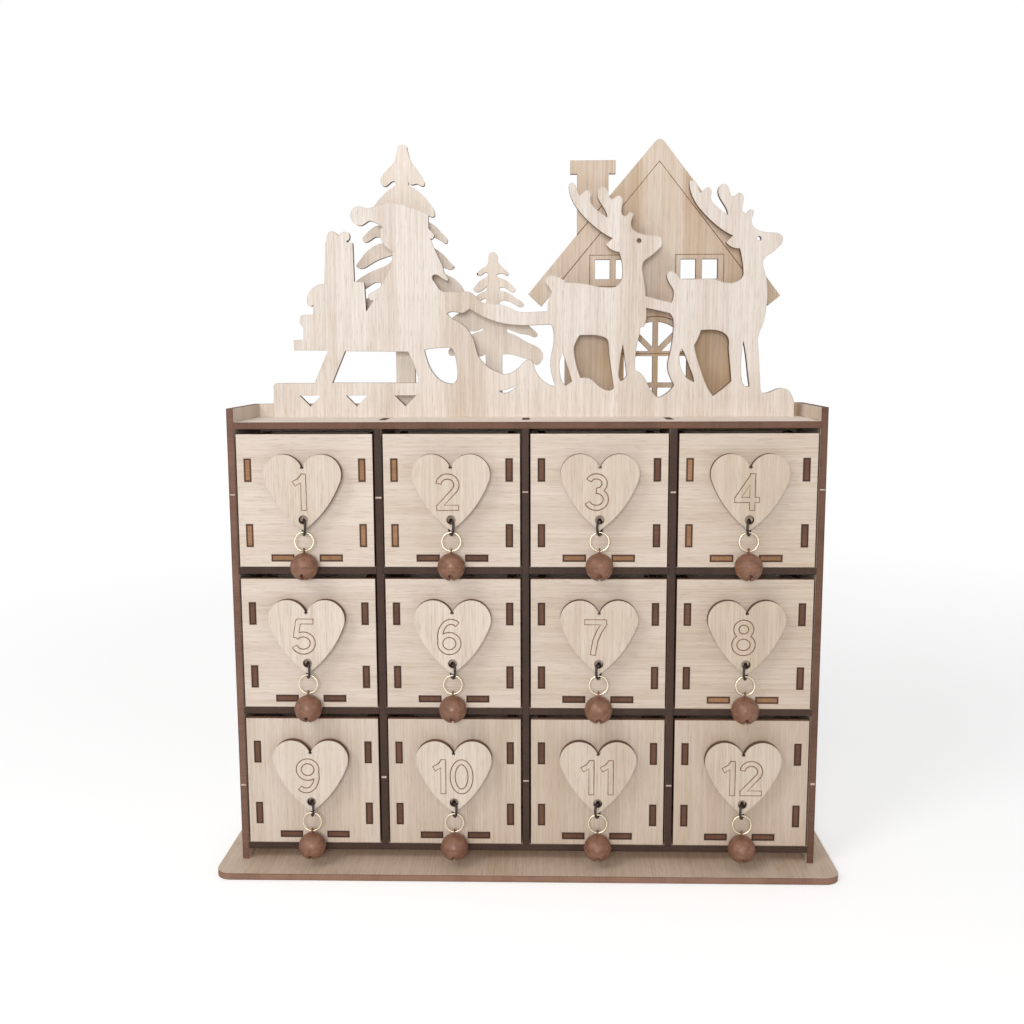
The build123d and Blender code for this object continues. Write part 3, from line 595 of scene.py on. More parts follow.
class ShapeTree(NodeTree):
    """A Geometry Nodes tree with named inputs, built in code and turned into plain meshes."""

    def __init__(self, name: str, inputs: dict[str, str]) -> None:
        """Starts the tree.

        Args:
            name: the tree's name.
            inputs: socket types by input name, each without its NodeSocket.
        """
        self.tree = bpy.data.node_groups.new(name, "GeometryNodeTree")
        super().__init__(self.tree)
        face = self.tree.interface
        face.new_socket("Geometry", in_out="INPUT", socket_type="NodeSocketGeometry")
        self.identifiers = {}
        for label, kind in inputs.items():
            made = face.new_socket(label, in_out="INPUT", socket_type=f"NodeSocket{kind}")
            self.identifiers[label] = made.identifier
        face.new_socket("Geometry", in_out="OUTPUT", socket_type="NodeSocketGeometry")
        self.given = self.nodes.new("NodeGroupInput").outputs

    def close(self, shape: bpy.types.NodeSocket) -> None:
        """Ends the tree in Realize Instances and Set Material.

        Args:
            shape: the geometry to hand out.
        """
        real = self.node("GeometryNodeRealizeInstances", None, {0: shape})
        coated = self.node("GeometryNodeSetMaterial", None,
                           {"Geometry": real.outputs[0], "Material": self.given["Material"]})
        self.node("NodeGroupOutput", None, {0: coated.outputs[0]})

    def mesh(self, name: str, start: bpy.types.Mesh, values: dict[str, Any]) -> bpy.types.Mesh:
        """Runs the tree on a mesh.

        Args:
            name: the new mesh's name.
            start: the mesh that the tree works on.
            values: the inputs' values by name.

        Returns:
            The result as a plain mesh.
        """
        holder = bpy.data.objects.new(name, start)
        bpy.context.scene.collection.objects.link(holder)
        modifier = holder.modifiers.new("shape", "NODES")
        modifier.node_group = self.tree
        for label, value in values.items():
            modifier[self.identifiers[label]] = value
        graph = bpy.context.evaluated_depsgraph_get()
        made = bpy.data.meshes.new_from_object(holder.evaluated_get(graph))
        made.name = name
        holder.modifiers.remove(modifier)
        bpy.data.objects.remove(holder)
        bpy.data.meshes.remove(start)
        return made


@lru_cache(maxsize=None)
def line_tree() -> ShapeTree:
    """Makes the tree that lays a flat line along drawn edges and stands it upright.

    Returns:
        The tree; edges are drawn in x and y, and y becomes height.
    """
    tree = ShapeTree("scored_lines", {"Width": "Float", "Height": "Float", "Place": "Vector",
                                      "Material": "Material"})
    path = tree.node("GeometryNodeMeshToCurve", None, {"Mesh": tree.given["Geometry"]})
    level = tree.node("GeometryNodeSetCurveNormal", {"mode": "Z_UP"}, {"Curve": path.outputs[0]})
    section = tree.node("GeometryNodeCurvePrimitiveQuadrilateral", None,
                        {"Width": tree.given["Width"], "Height": tree.given["Height"]})
    ribbon = tree.node("GeometryNodeCurveToMesh", None, {
        "Curve": level.outputs[0], "Profile Curve": section.outputs[0], "Fill Caps": True})
    stood = tree.node("GeometryNodeTransform", None, {
        "Geometry": ribbon.outputs[0], "Rotation": (pi / 2, 0, 0), "Translation": tree.given["Place"]})
    tree.close(stood.outputs[0])
    return tree


@lru_cache(maxsize=None)
def ring_tree() -> ShapeTree:
    """Makes the tree that bends a wire into a ring with the cut it was closed at.

    Returns:
        The tree; the ring is bent in x and y and then turned and placed.
    """
    tree = ShapeTree("wire_rings", {
        "Ring Radius": "Float", "Wire Radius": "Float", "Start Angle": "Float", "Sweep Angle": "Float",
        "Turn": "Vector", "Place": "Vector", "Material": "Material"})
    arc = tree.node("GeometryNodeCurveArc", {"mode": "RADIUS"}, {
        "Resolution": RING_STEPS, "Radius": tree.given["Ring Radius"],
        "Start Angle": tree.given["Start Angle"], "Sweep Angle": tree.given["Sweep Angle"]})
    wire = tree.node("GeometryNodeCurvePrimitiveCircle", {"mode": "RADIUS"},
                     {"Resolution": WIRE_STEPS, "Radius": tree.given["Wire Radius"]})
    tube = tree.node("GeometryNodeCurveToMesh", None, {
        "Curve": arc.outputs[0], "Profile Curve": wire.outputs[0], "Fill Caps": True})
    hung = tree.node("GeometryNodeTransform", None, {
        "Geometry": tube.outputs[0], "Rotation": tree.given["Turn"], "Translation": tree.given["Place"]})
    tree.close(hung.outputs[0])
    return tree


@lru_cache(maxsize=None)
def nib_tree() -> ShapeTree:
    """Makes the tree that sets a small torn nib on every given point.

    Returns:
        The tree; nibs differ a little in size, always in the same way.
    """
    tree = ShapeTree("holding_nibs", {"Size": "Vector", "Seed": "Int", "Material": "Material"})
    chip = tree.node("GeometryNodeMeshCube", None, {"Size": tree.given["Size"]})
    grown = tree.node("FunctionNodeRandomValue", {"data_type": "FLOAT_VECTOR"},
                      {0: SMALLEST_NIB, 1: LARGEST_NIB, "Seed": tree.given["Seed"]})
    spread = tree.node("GeometryNodeInstanceOnPoints", None, {
        "Points": tree.given["Geometry"], "Instance": chip.outputs[0], "Scale": grown.outputs[0]})
    tree.close(spread.outputs[0])
    return tree


# --- Meshes and pieces --------------------------------------------------------------------------------------


def islands(faces: Iterable[bmesh.types.BMFace]) -> list[list[bmesh.types.BMFace]]:
    """Parts faces into groups that hang together by their edges.

    Args:
        faces: the faces to part.

    Returns:
        The groups, in the order of their first faces.
    """
    left = dict.fromkeys(faces)
    groups = []
    while left:
        group, front = [], [next(iter(left))]
        del left[front[0]]
        while front:
            face = front.pop()
            group.append(face)
            for near in (other for rim in face.edges for other in rim.link_faces):
                if near in left:
                    del left[near]
                    front.append(near)
        groups.append(group)
    return groups


def solids(node: str) -> list[bmesh.types.BMesh]:
    """Copies a CAD node and parts the copy into its solids.

    Args:
        node: the node's name.

    Returns:
        One welded mesh for each solid.
    """
    whole = bmesh.new()
    whole.from_mesh(frame["nodes"][node].data)
    bmesh.ops.remove_doubles(whole, verts=whole.verts, dist=WELD)
    whole.faces.index_update()
    parts = []
    for island in islands(whole.faces):
        part = bmesh.new()
        twins: dict[bmesh.types.BMVert, bmesh.types.BMVert] = {}
        for face in sorted(island, key=lambda item: item.index):
            for vert in face.verts:
                if vert not in twins:
                    twins[vert] = part.verts.new(vert.co)
            part.faces.new([twins[vert] for vert in face.verts])
        part.normal_update()
        parts.append(part)
    whole.free()
    return parts


def corners(shape: bmesh.types.BMesh) -> tuple[Vector, Vector]:
    """Finds a mesh's box.

    Args:
        shape: the mesh.

    Returns:
        Its lowest and its highest corner.
    """
    low = Vector(min(vert.co[axis] for vert in shape.verts) for axis in range(3))
    high = Vector(max(vert.co[axis] for vert in shape.verts) for axis in range(3))
    return low, high


def thin_axis(low: Vector, high: Vector) -> int:
    """The number of the axis along which a box is thinnest."""
    size = high - low
    return min(range(3), key=lambda axis: size[axis])


def smoothed(shape: bmesh.types.BMesh, name: str, angle: float = 35.0) -> bpy.types.Mesh:
    """Turns a mesh under work into a finished one, smooth except at its arrises.

    Args:
        shape: the mesh under work, which is freed.
        name: the new mesh's name.
        angle: edges that turn by more than this many degrees stay sharp.

    Returns:
        The finished mesh.
    """
    mesh = bpy.data.meshes.new(name)
    shape.to_mesh(mesh)
    shape.free()
    mesh.polygons.foreach_set("use_smooth", [True] * len(mesh.polygons))
    mesh.set_sharp_from_angle(angle=radians(angle))
    return mesh


def edge_mesh(name: str, paths: Iterable[Path]) -> bpy.types.Mesh:
    """Draws paths as bare edges in x and y.

    Args:
        name: the mesh's name.
        paths: points in millimetres, each path with whether it closes.

    Returns:
        The mesh of edges.
    """
    verts: list[Place] = []
    edges: list[tuple[int, int]] = []
    for points, closed in paths:
        first = len(verts)
        verts += [(x * MM, y * MM, 0.0) for x, y in points]
        edges += [(first + step, first + step + 1) for step in range(len(points) - 1)]
        if closed:
            edges.append((len(verts) - 1, first))
    mesh = bpy.data.meshes.new(name)
    mesh.from_pydata(verts, edges, [])
    return mesh


def place_piece(mesh: bpy.types.Mesh, material: Optional[bpy.types.Material], body: str,
                nodes: Sequence[str] = ()) -> None:
    """Makes a mesh a piece of the part.

    Args:
        mesh: the finished mesh, which names the piece.
        material: its material, or None where the mesh already has one.
        body: the body that it moves with.
        nodes: the CAD nodes that it stands for.
    """
    if material is not None:
        mesh.materials.clear()
        mesh.materials.append(material)
    piece = bpy.data.objects.new(mesh.name, mesh)
    bpy.context.scene.collection.objects.link(piece)
    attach(piece, body)
    if nodes:
        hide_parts(*nodes)
    log.info("%s: %d faces on %s", piece.name, len(mesh.polygons), body)


def leave_nibs(name: str, points: Sequence[Place], size: Place, body: str) -> None:
    """Leaves a holding nib on every point, as one piece.

    Args:
        name: the piece's name.
        points: where the nibs sit.
        size: how large they are.
        body: the body that they move with.
    """
    start = bpy.data.meshes.new("nib_points")
    start.from_pydata(points, [], [])
    mesh = nib_tree().mesh(name, start, {"Size": size, "Seed": len(points), "Material": painted(BARE_NIB)})
    place_piece(mesh, None, body)


def score(name: str, paths: Iterable[Path], width: float, place: Place, body: str) -> None:
    """Scores lines into an upright face, as one piece.

    Args:
        name: the piece's name.
        paths: the lines in millimetres, each with whether it closes.
        width: how wide they are.
        place: where the lines' origin comes to lie.
        body: the body that they move with.
    """
    mesh = line_tree().mesh(name, edge_mesh("score_paths", paths), {
        "Width": width, "Height": LINE_HEIGHT, "Place": place, "Material": painted(SCORED_LINE)})
    place_piece(mesh, None, body)


@dataclass(frozen=True)
class TonePatch:
    """A stretch of a sheet, between two corners in x and z, that is tanner than the rest."""

    low: Point
    high: Point
    share: float

    def at(self, place: Vector) -> float:
        """Says how much tanner the sheet is at a place.

        Args:
            place: the place, in metres.

        Returns:
            The patch's share inside it, else 0.
        """
        inside = (self.low[0] * MM <= place.x <= self.high[0] * MM
                  and self.low[1] * MM <= place.z <= self.high[1] * MM)
        return self.share if inside else 0.0


@dataclass
class PlySheet:
    """One sheet of plywood: a CAD solid with a scorched rim and what its veneer reads."""

    name: str
    body: str
    nodes: tuple[str, ...]
    grain: Axis
    face: FaceTone
    edge: CutEdge
    # the sheet's own tone, plus any painted light or shade that the caller adds
    tone: float = 0.0
    slot: Slot = Slot.PLYWOOD
    streaks: tuple[Streak, ...] = ()
    patches: tuple[TonePatch, ...] = ()
    shown_ends: bool = False
    rim: float = 0.5 * MM
    end_rim: float = 0.9 * MM
    outline_scorch: float = 0.45
    veneer_reach: float = 0.4

    def _scorch_rim(self, shape: bmesh.types.BMesh, through: int) -> None:
        """Insets both faces, so that the scorch has a rim to fade across.

        Args:
            shape: the sheet's mesh.
            through: the axis through the sheet.
        """
        for way in (-1, 1):
            faces = [face for face in shape.faces if face.normal[through] * way > SQUARE_ON]
            bmesh.ops.inset_region(shape, faces=faces, thickness=self.rim, use_boundary=True,
                                   use_even_offset=False)
            shape.normal_update()

    def _char_ends(self, shape: bmesh.types.BMesh) -> set[bmesh.types.BMVert]:
        """Insets the tab ends that show in the drawer's front, so that their char can fade.

        Args:
            shape: the sheet's mesh.

        Returns:
            The vertices round those ends.
        """
        front = corners(shape)[0].y
        ends = [face for face in shape.faces
                if face.normal.y < -SQUARE_ON and face.calc_center_median().y - front < self.rim]
        bmesh.ops.inset_region(shape, faces=ends, thickness=self.end_rim, use_boundary=True,
                               use_even_offset=True)
        shape.normal_update()
        return {vert for vert in shape.verts
                if vert.co.y - front < WELD and any(face.normal.y > -SQUARE_ON for face in vert.link_faces)}

    def _outline(self, shape: bmesh.types.BMesh, through: int) -> set[bmesh.types.BMVert]:
        """Finds the cut rim that runs round the whole sheet, apart from its slots and holes.

        Args:
            shape: the sheet's mesh.
            through: the axis through the sheet.

        Returns:
            The vertices of the outer cut.
        """
        def reach(rim: set[bmesh.types.BMVert]) -> float:
            """How far a rim reaches along the three axes together."""
            return sum(max(vert.co[axis] for vert in rim) - min(vert.co[axis] for vert in rim)
                       for axis in range(3))

        cuts = [face for face in shape.faces if abs(face.normal[through]) < SQUARE_ON]
        return max(({vert for face in island for vert in face.verts} for island in islands(cuts)), key=reach)

    def build(self, shape: bmesh.types.BMesh) -> None:
        """Makes the sheet a piece.

        Args:
            shape: the CAD solid's welded mesh, which is used up.
        """
        low, high = corners(shape)
        through = thin_axis(low, high)
        thickness = (high - low)[through]
        # new layers come first, because they would undo what is known about the vertices
        scorch, depth, char, tone = (shape.verts.layers.float.new(name)
                                     for name in ("scorch", "depth", "char", "tone"))
        cut = shape.verts.layers.float_vector.new("cut")
        self._scorch_rim(shape, through)
        ends = self._char_ends(shape) if self.shown_ends else set()
        outer = self._outline(shape, through)
        draw = random.Random(self.name)
        taken_from = Vector(draw.uniform(-self.veneer_reach, self.veneer_reach) for _ in range(3))
        for vert in shape.verts:
            rim = any(abs(face.normal[through]) < SQUARE_ON for face in vert.link_faces)
            vert[scorch] = (self.outline_scorch if vert in outer else 1.0) if rim else 0.0
            vert[depth] = (vert.co[through] - low[through]) / thickness
            vert[char] = 1.0 if vert in ends else 0.0
            vert[tone] = self.tone + sum(patch.at(vert.co) for patch in self.patches)
            vert[cut] = taken_from
        directions = f"{Axis(through).name}{self.grain.name}".lower()
        veneer = Veneer(f"ply_{self.face.name}_{directions}_{self.edge.name}", Axis(through), self.grain,
                        self.face, self.edge, self.streaks)
        place_piece(smoothed(shape, self.name), painted(veneer), self.body, self.nodes)


# --- Numbers ------------------------------------------------------------------------------------------------


def bow(centre: Point, reach: Point, start: float, end: float, steps: int = 28) -> list[Point]:
    """Points along part of an ellipse.

    Args:
        centre, reach: its middle and its half sizes.
        start, end: angles in degrees, 0 to the right and 90 at the top.
        steps: how many pieces it is divided into.

    Returns:
        The points in order.
    """
    angles = [radians(start + (end - start) * step / steps) for step in range(steps + 1)]
    return [(centre[0] + reach[0] * cos(angle), centre[1] + reach[1] * sin(angle)) for angle in angles]


@dataclass(frozen=True)
class Numerals:
    """Plain upright numerals drawn as middle lines, for a digit 1 high; the laser scores their outline."""

    height: float = 15.85
    stroke: float = 0.142
    breadth: float = 1.2
    advance: float = 0.76
    narrow_advance: float = 0.54
    weld: float = 1e-5

    def _middles(self, digit: str) -> list[list[Point]]:
        """The middle lines of one digit.

        Args:
            digit: 0 to 9.

        Returns:
            Strokes as points.
        """
        if digit == "9":
            return [[(0.56 - x, 1.0 - y) for x, y in line] for line in self._middles("6")]
        return {
            "0": [bow((0.28, 0.5), (0.21, 0.43), 0, 360)],
            "1": [[(0.36, 0.0), (0.36, 1.0)], [(0.375, 0.965), (0.27, 0.83), (0.1, 0.73)]],
            "2": [bow((0.28, 0.7), (0.205, 0.23), 172, -38) + [(0.09, 0.1)], [(0.03, 0.071), (0.53, 0.071)]],
            "3": [bow((0.265, 0.735), (0.185, 0.195), 155, -90),
                  bow((0.265, 0.303), (0.215, 0.232), 90, -158)],
            "4": [[(0.4, 0.0), (0.4, 1.0)], [(0.41, 0.95), (0.05, 0.3)], [(0.0, 0.285), (0.56, 0.285)]],
            "5": [[(0.13, 0.929), (0.51, 0.929)], [(0.165, 0.96), (0.1, 0.47)],
                  bow((0.27, 0.315), (0.22, 0.245), 140, -158)],
            "6": [bow((0.285, 0.315), (0.21, 0.245), 0, 360), bow((0.33, 0.5), (0.255, 0.43), 55, 200)],
            "7": [[(0.03, 0.929), (0.53, 0.929)], [(0.5, 0.92), (0.37, 0.68), (0.28, 0.42), (0.22, 0.0)]],
            "8": [bow((0.28, 0.735), (0.17, 0.195), 0, 360), bow((0.28, 0.303), (0.21, 0.232), 0, 360)],
        }[digit]

    def _ribbon(self, line: Sequence[Point]) -> list[list[Point]]:
        """Widens a middle line into four-cornered patches that share their ends.

        Args:
            line: the stroke's points.

        Returns:
            The patches' corners.
        """
        closed = hypot(line[0][0] - line[-1][0], line[0][1] - line[-1][1]) < self.weld
        last = len(line) - 1
        rails = []
        for step, (x, y) in enumerate(line):
            before = line[step - 1] if step else (line[last - 1] if closed else line[0])
            after = line[step + 1] if step < last else (line[1] if closed else line[last])
            run, rise = after[0] - before[0], after[1] - before[1]
            half = self.stroke / 2 / hypot(run, rise)
            rails.append(((x - rise * half, y + run * half), (x + rise * half, y - run * half)))
        if closed:
            rails[-1] = rails[0]
        return [[a[1], b[1], b[0], a[0]] for a, b in zip(rails, rails[1:])]

    def outline(self, digit: str) -> list[list[Point]]:
        """Joins a digit's strokes and walks round what they cover.

        Args:
            digit: 0 to 9.

        Returns:
            Closed outlines, outside and inside ones.
        """
        verts: list[Vector] = []
        faces: list[list[int]] = []
        breadth = 1.0 if digit == "1" else self.breadth
        for line in self._middles(digit):
            for patch in self._ribbon([(x * breadth, y) for x, y in line]):
                faces.append(list(range(len(verts), len(verts) + 4)))
                verts += [Vector(corner) for corner in patch]
        places, _, triangles, _, _, owners = delaunay_2d_cdt(verts, [], faces, 0, self.weld, True)
        rims: dict[int, int] = {}
        covered = [tri for tri, owner in zip(triangles, owners) if owner]
        sides = {(tri[step], tri[(step + 1) % 3]) for tri in covered for step in range(3)}
        for start, end in sorted(sides):
            if (end, start) not in sides:
                rims[start] = end
        loops = []
        while rims:
            start, here = rims.popitem()
            loop = [start]
            while here != start:
                loop.append(here)
                here = rims.pop(here)
            loops.append([(places[index].x, places[index].y) for index in loop])
        return loops

    def number(self, value: int) -> list[Path]:
        """Outlines of a whole number, centred on the origin.

        Args:
            value: the number.

        Returns:
            Closed paths in millimetres.
        """
        paths: list[list[Point]] = []
        shift = 0.0
        for digit in str(value):
            paths += [[(x + shift, y) for x, y in loop] for loop in self.outline(digit)]
            shift += self.narrow_advance if digit == "1" else self.advance
        across = [x for loop in paths for x, _ in loop]
        middle = (min(across) + max(across)) / 2
        return [([((x - middle) * self.height, (y - 0.5) * self.height) for x, y in loop], True)
                for loop in paths]


# --- Sub-assemblies -----------------------------------------------------------------------------------------


@dataclass
class Carcass:
    """The fixed sheets of the cabinet and its base board."""

    body: str = "cabinet"
    sheets: dict[str, tuple[Axis, FaceTone, CutEdge, float]] = field(default_factory=lambda: {
        "base_board": (Axis.Y, BOARD_TONE, MID_EDGE, 0.05),
        "left_side": (Axis.Z, CREAM, SIDE_EDGE, 0.0),
        # painted shade: the right side's front edge takes the darker plaque edge colours
        "right_side": (Axis.Z, CREAM, PLAQUE_EDGE_AND_PAINTED_SHADE, 0.1),
        # painted light: a tone of -0.2 makes the deck paler still
        "top_deck": (Axis.X, DECK_PAINTED_LIGHT_TONE, DECK_EDGE, -0.2),
        "upper_shelf": (Axis.X, BOARD_TONE, DARK_EDGE, 0.1),
        "lower_shelf": (Axis.X, BOARD_TONE, DARK_EDGE, 0.1),
        "cabinet_floor": (Axis.X, BOARD_TONE, DARK_EDGE, 0.1),
        "divider_left": (Axis.Z, BOARD_TONE, DARK_EDGE, 0.1),
        "divider_middle": (Axis.Z, BOARD_TONE, DARK_EDGE, 0.0),
        "divider_right": (Axis.Z, BOARD_TONE, DARK_EDGE, 0.1),
    })
    uprights: tuple[str, ...] = ("left_side", "divider_left", "divider_middle", "divider_right", "right_side")
    nib_heights: tuple[float, ...] = (172.0, 40.0)
    nib_wander: float = 3.0
    nib_seed: int = 41
    nib_size: Place = (2.5 * MM, 0.16 * MM, 0.8 * MM)

    def _nibs(self) -> None:
        """Leaves nibs on the uprights' front edges, where the sheet held them while it was cut."""
        draw = random.Random(self.nib_seed)
        points = []
        for node in self.uprights:
            low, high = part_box(node)
            for height in self.nib_heights:
                wander = draw.uniform(-self.nib_wander, self.nib_wander)
                points.append(((low.x + high.x) / 2, low.y, (height + wander) * MM))
        leave_nibs("carcass_nibs", points, self.nib_size, self.body)

    def build(self) -> None:
        """Dresses every sheet and leaves the nibs."""
        for node, (grain, face, edge, tone) in self.sheets.items():
            for shape in solids(node):
                PlySheet(f"{node}_sheet", self.body, (node,), grain, face, edge, tone).build(shape)
        self._nibs()


@dataclass
class Scenery:
    """The two cut-out sheets above the deck, and the lines scored on the house."""

    body: str = "cabinet"
    line_width: float = 0.45 * MM
    roof: tuple[Point, ...] = ((16.7, 266.3), (61.0, 319.2), (101.5, 268.5))
    chimney_foot: tuple[Point, ...] = ((23.4, 286.4), (38.5, 303.8))
    windows: tuple[tuple[float, float, float, float], ...] = (
        (29.3, 263.0, 51.0, 277.2), (69.0, 263.0, 91.2, 277.3))
    arch_centre: Point = (60.2, 232.0)
    arch_radius: float = 17.2
    arch_steps: int = 48
    front_scorch: float = 0.65
    front_streaks: tuple[Streak, ...] = (Streak(-36.0, -20.0, 0.4), Streak(43.0, 58.0, 0.35))
    rear_streaks: tuple[Streak, ...] = (Streak(36.0, 52.0, 0.15), Streak(74.0, 130.0, 0.2))
    # painted shade: the lower patch darkens the house's foot and door behind the reindeer; the upper patch
    # makes the upper house tanner than the trees
    house_tone: tuple[TonePatch, ...] = (TonePatch((12.0, 204.0), (130.0, 251.0), 0.6),
                                         TonePatch((0.0, 251.0), (130.0, 335.0), 0.34))

    def _house_lines(self) -> list[Path]:
        """Draws the house's scored lines in x and z.

        Returns:
            Paths in millimetres, each with whether it closes.
        """
        lines: list[Path] = [(self.roof, False), (self.chimney_foot, False)]
        for left, low, right, high in self.windows:
            lines.append(([(left, low), (right, low), (right, high), (left, high)], True))
        reach = (self.arch_radius, self.arch_radius)
        lines.append((bow(self.arch_centre, reach, 0, 180, self.arch_steps), True))
        return lines

    def build(self) -> None:
        """Dresses both sheets and scores the house."""
        (front,) = solids("front_scene")
        PlySheet("front_scene_sheet", self.body, ("front_scene",), Axis.Z, BLEACHED, SCENE_EDGE,
                 slot=Slot.SCENERY, streaks=self.front_streaks, outline_scorch=self.front_scorch).build(front)
        (rear,) = solids("back_panel")
        face_y = corners(rear)[0].y
        # painted light across the rear sheet, painted shade on the house by its patches
        PlySheet("back_panel_sheet", self.body, ("back_panel",), Axis.Z, REAR_PAINTED_LIGHT_AND_SHADE, SCENE_EDGE,
                 streaks=self.rear_streaks, patches=self.house_tone).build(rear)
        score("house_lines", self._house_lines(), self.line_width, (0.0, face_y, 0.0), self.body)


@dataclass
class DrawerUnit:
    """One drawer with its heart, its number, its two rings and its bell."""

    number: int
    columns: int = 4
    number_rise: float = 16.6 * MM
    number_shift: tuple[float, float] = (-1.3 * MM, -0.4 * MM)
    line_width: float = 0.46 * MM
    nib_rise: float = 21.0 * MM
    nib_size: Place = (0.3 * MM, 2.4 * MM, 0.7 * MM)
    black_turn: float = 20.0
    cut_angle: float = 2.5
    upright_row: int = 2
    plate_tones: tuple[float, float] = (-0.1, 0.15)
    heart_tones: tuple[float, float] = (-0.1, 0.2)
    # painted shade: fronts turn tanner for each column to the right and each row down, hearts for each
    # column, standing in for light falling off away from the upper left
    tan_rise: float = 0.1
    pale_tabs: tuple[float, ...] = (0.6, 0.2, 0.0)
    bell_arris: float = 40.0
    numerals: Numerals = Numerals()

    @property
    def label(self) -> str:
        """The two figures in the names of this unit's nodes and bodies."""
        return f"{self.number:02d}"

    @property
    def row(self) -> int:
        """The row, counted from the top."""
        return (self.number - 1) // self.columns

    @property
    def column(self) -> int:
        """The column, counted from the left."""
        return (self.number - 1) % self.columns

    def _plate_name(self, shape: bmesh.types.BMesh, middle: Vector) -> str:
        """Says which plate of the drawer a solid is.

        Args:
            shape: the solid's mesh.
            middle: the middle of the whole drawer.

        Returns:
            The plate's plain name.
        """
        low, high = corners(shape)
        through = thin_axis(low, high)
        before = (low[through] + high[through]) / 2 < middle[through]
        if through == Axis.Z.value:
            return "bottom"
        if through == Axis.X.value:
            return "left" if before else "right"
        return "front" if before else "back"

    def _box(self) -> None:
        """Dresses the drawer's five plates."""
        node = f"drawer_{self.label}"
        low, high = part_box(node)
        grains = {"front": Axis.Z if self.row == self.upright_row else Axis.X, "back": Axis.X,
                  "left": Axis.Y, "right": Axis.Y, "bottom": Axis.X}
        for shape in solids(node):
            plate = self._plate_name(shape, (low + high) / 2)
            draw = random.Random(f"{node}_{plate}_look")
            # painted shade by column and row, added to the random tone
            tone = draw.uniform(*self.plate_tones) + self.tan_rise * (self.column + self.row)
            pale_tab = draw.random() < self.pale_tabs[self.row]
            edge = MID_EDGE if plate == "front" else TAB_EDGE if pale_tab else BURNT_TAB_EDGE
            PlySheet(f"{node}_{plate}", node, (node,), grains[plate], CREAM, edge, tone,
                     shown_ends=plate in ("left", "right", "bottom")).build(shape)

    def _heart(self) -> None:
        """Dresses the plaque and its spacer and scores the number."""
        node, body = f"heart_{self.label}", f"drawer_{self.label}"
        draw = random.Random(node)
        low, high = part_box(node)
        # painted shade by column, added to the random tone
        tone = draw.uniform(*self.heart_tones) + self.tan_rise * self.column
        middle = (low.x + high.x) / 2
        for shape in solids(node):
            first, last = corners(shape)
            name = "plaque" if last.x - first.x > (high.x - low.x) / 2 else "spacer"
            if name == "plaque":
                held = min((vert.co for vert in shape.verts if vert.co.x > middle),
                           key=lambda place: abs(place.z - low.z - self.nib_rise) - place.x)
                leave_nibs(f"{node}_nib", [(held.x, (first.y + last.y) / 2, held.z)], self.nib_size, body)
            PlySheet(f"{node}_{name}", body, (node,), Axis.Z, HEARTWOOD, PLAQUE_EDGE_AND_PAINTED_SHADE, tone).build(shape)
        place = (middle + self.number_shift[self.number > 9], low.y, low.z + self.number_rise)
        score(f"number_{self.label}", self.numerals.number(self.number), self.line_width, place, body)

    def _rings(self) -> None:
        """Bends the black ring and the gold ring."""
        node = f"rings_{self.label}"
        pivots = {joint["name"]: Vector(joint["pos_m"]) for joint in frame["joints"] if "pos_m" in joint}
        hole = pivots[f"{node}_swing"]
        hang = pivots[f"bell_{self.label}_tip"] - hole
        chain = Matrix.Rotation(atan2(hang.y, -hang.z), 3, "X")
        way = 1 if self.column < self.columns / 2 else -1
        askew = Matrix.Rotation(radians(way * self.black_turn), 3, "Z") @ Matrix.Rotation(pi / 2, 3, "Y")
        for ring, turn in ((BLACK_RING, askew), (GOLD_RING, Matrix.Rotation(pi / 2, 3, "X"))):
            mesh = ring_tree().mesh(f"{ring.name}_ring_{self.label}", bpy.data.meshes.new("blank"), {
                "Ring Radius": ring.radius, "Wire Radius": ring.wire, "Start Angle": ring.start,
                "Sweep Angle": 2 * pi - radians(self.cut_angle), "Turn": tuple((chain @ turn).to_euler()),
                "Place": tuple(hole + chain @ Vector((0, 0, -ring.drop - ring.radius))),
                "Material": painted(ring.finish)})
            place_piece(mesh, None, node, (node,))

    def _bell(self) -> None:
        """Dresses the bell's cups and its pellet."""
        node = f"bell_{self.label}"
        parts = sorted(solids(node), key=lambda shape: corners(shape)[1].z, reverse=True)
        for name, shape in zip(("upper_cup", "lower_cup", "pellet"), parts):
            mesh = smoothed(shape, f"{node}_{name}", self.bell_arris)
            place_piece(mesh, painted(BellPaint()), node, (node,))

    def build(self) -> None:
        """Dresses the whole unit."""
        self._box()
        self._heart()
        self._rings()
        self._bell()


# --- Studio -------------------------------------------------------------------------------------------------


@dataclass(frozen=True)
class Lamp:
    """A soft area lamp."""

    name: str
    place: Place
    aim: Place
    size: float
    power: float

    def hang(self) -> None:
        """Hangs the lamp and turns it to its aim."""
        data = bpy.data.lights.new(self.name, "AREA")
        data.shape = "DISK"
        data.size = self.size
        data.energy = self.power
        lamp = bpy.data.objects.new(self.name, data)
        lamp.location = self.place
        lamp.rotation_euler = (Vector(self.aim) - Vector(self.place)).to_track_quat("-Z", "Y").to_euler()
        bpy.context.scene.collection.objects.link(lamp)


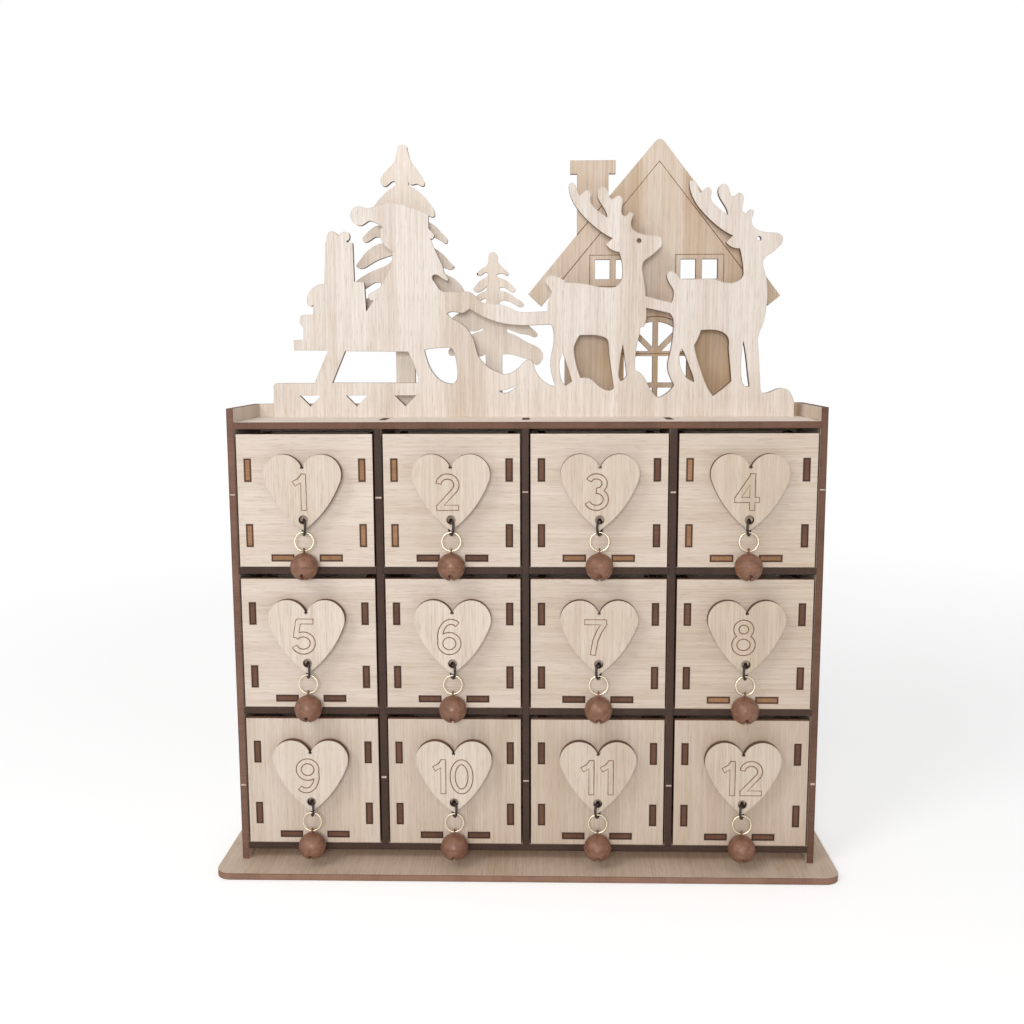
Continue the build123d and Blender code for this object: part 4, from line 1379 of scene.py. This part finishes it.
@dataclass
class Studio:
    """A plain pale floor, soft light and the camera of the photograph."""

    floor_size: float = 12.0
    floor_drop: float = 0.0002
    floor_colour: RGB = (0.86, 0.86, 0.86)
    near_lift: float = 0.4
    far_lift: float = 0.61
    lift_reach: tuple[float, float] = (0.2, 1.3)
    ambient: float = 0.46
    lamps: tuple[Lamp, ...] = (
        Lamp("key_lamp", (-0.8, -0.95, 1.15), (0.0, 0.0, 0.16), 0.6, 5.4),
        Lamp("front_lamp", (-0.08, -1.05, 0.38), (0.0, 0.0, 0.24), 0.3, 4.4),
    )
    white: RGB = (1.0, 1.0, 1.0)
    camera_place: Place = (7.85 * MM, -516.41 * MM, 232.06 * MM)
    camera_pitch: float = 7.9185
    camera_yaw: float = 1.5955
    camera_roll: float = -0.2207
    camera_lens: float = 39.95
    camera_sensor: float = 36.0
    camera_start: float = 0.01

    def _seen(self, tree: ShaderTree) -> Shade:
        """Tells the rays that see a background from those that light the object.

        Args:
            tree: the tree that asks.

        Returns:
            1 for rays from the camera, off a gloss or through glass, else 0.
        """
        path = tree.node("ShaderNodeLightPath").outputs
        seen = Shade(tree, path["Is Camera Ray"]).larger(Shade(tree, path["Is Glossy Ray"]))
        return seen.larger(Shade(tree, path["Is Transmission Ray"]))

    def _floor(self) -> None:
        """Lays the floor, which shows white but keeps the shadow."""
        half = self.floor_size / 2
        mesh = bpy.data.meshes.new("studio_floor")
        square = [(-half, -half), (half, -half), (half, half), (-half, half)]
        mesh.from_pydata([(x, y, -self.floor_drop) for x, y in square], [], [(0, 1, 2, 3)])
        tree, place = fresh_material("studio_white")
        matt = tree.node("ShaderNodeBsdfDiffuse", None, {"Color": self.floor_colour})
        away = tree.shade("ShaderNodeVectorMath", {"operation": "LENGTH"}, {0: place}, "Value")
        rise = self.near_lift + away.between(*self.lift_reach) * (self.far_lift - self.near_lift)
        lift = tree.node("ShaderNodeEmission", None, {"Color": self._seen(tree) * rise})
        both = tree.node("ShaderNodeAddShader", None, {0: matt.outputs[0], 1: lift.outputs[0]})
        tree.node("ShaderNodeOutputMaterial", None, {"Surface": both.outputs[0]})
        mesh.materials.append(tree.owner)
        floor = bpy.data.objects.new("studio_floor", mesh)
        bpy.context.scene.collection.objects.link(floor)

    def _world(self) -> None:
        """Lights the room evenly and shows white behind the object."""
        world = bpy.data.worlds.new("studio_room")
        bpy.context.scene.world = world
        tree = ShaderTree(world)
        room = tree.node("ShaderNodeBackground", None, {"Color": self.white, "Strength": self.ambient})
        white = tree.node("ShaderNodeBackground", None, {"Color": self.white, "Strength": 1.0})
        shown = tree.node("ShaderNodeMixShader", None,
                          {0: self._seen(tree), 1: room.outputs[0], 2: white.outputs[0]})
        tree.node("ShaderNodeOutputWorld", None, {"Surface": shown.outputs[0]})

    def _camera(self) -> None:
        """Sets the camera where the photograph was taken from."""
        data = bpy.data.cameras.new("photo_camera")
        data.lens = self.camera_lens
        data.sensor_width = self.camera_sensor
        data.sensor_fit = "HORIZONTAL"
        data.clip_start = self.camera_start
        level = Matrix(((1, 0, 0), (0, 0, -1), (0, 1, 0)))
        turn = (Matrix.Rotation(radians(self.camera_roll), 3, "Z")
                @ Matrix.Rotation(radians(self.camera_pitch), 3, "X")
                @ Matrix.Rotation(radians(self.camera_yaw), 3, "Y") @ level)
        right, down, forward = turn
        camera = bpy.data.objects.new("photo_camera", data)
        stance = Matrix((right, -down, -forward)).transposed().to_4x4()
        stance.translation = self.camera_place
        camera.matrix_world = stance
        bpy.context.scene.collection.objects.link(camera)
        bpy.context.scene.camera = camera

    def build(self) -> None:
        """Sets up floor, light and camera."""
        self._floor()
        self._world()
        self._camera()
        for lamp in self.lamps:
            lamp.hang()
        bpy.context.scene.view_settings.view_transform = "Standard"


def main() -> None:
    """Builds the sub-assemblies in order."""
    logging.basicConfig(level=logging.INFO, format="%(name)s: %(message)s")
    Studio().build()
    Carcass().build()
    Scenery().build()
    for number in range(1, DRAWERS + 1):
        DrawerUnit(number).build()


if __name__ == "__main__":
    main()
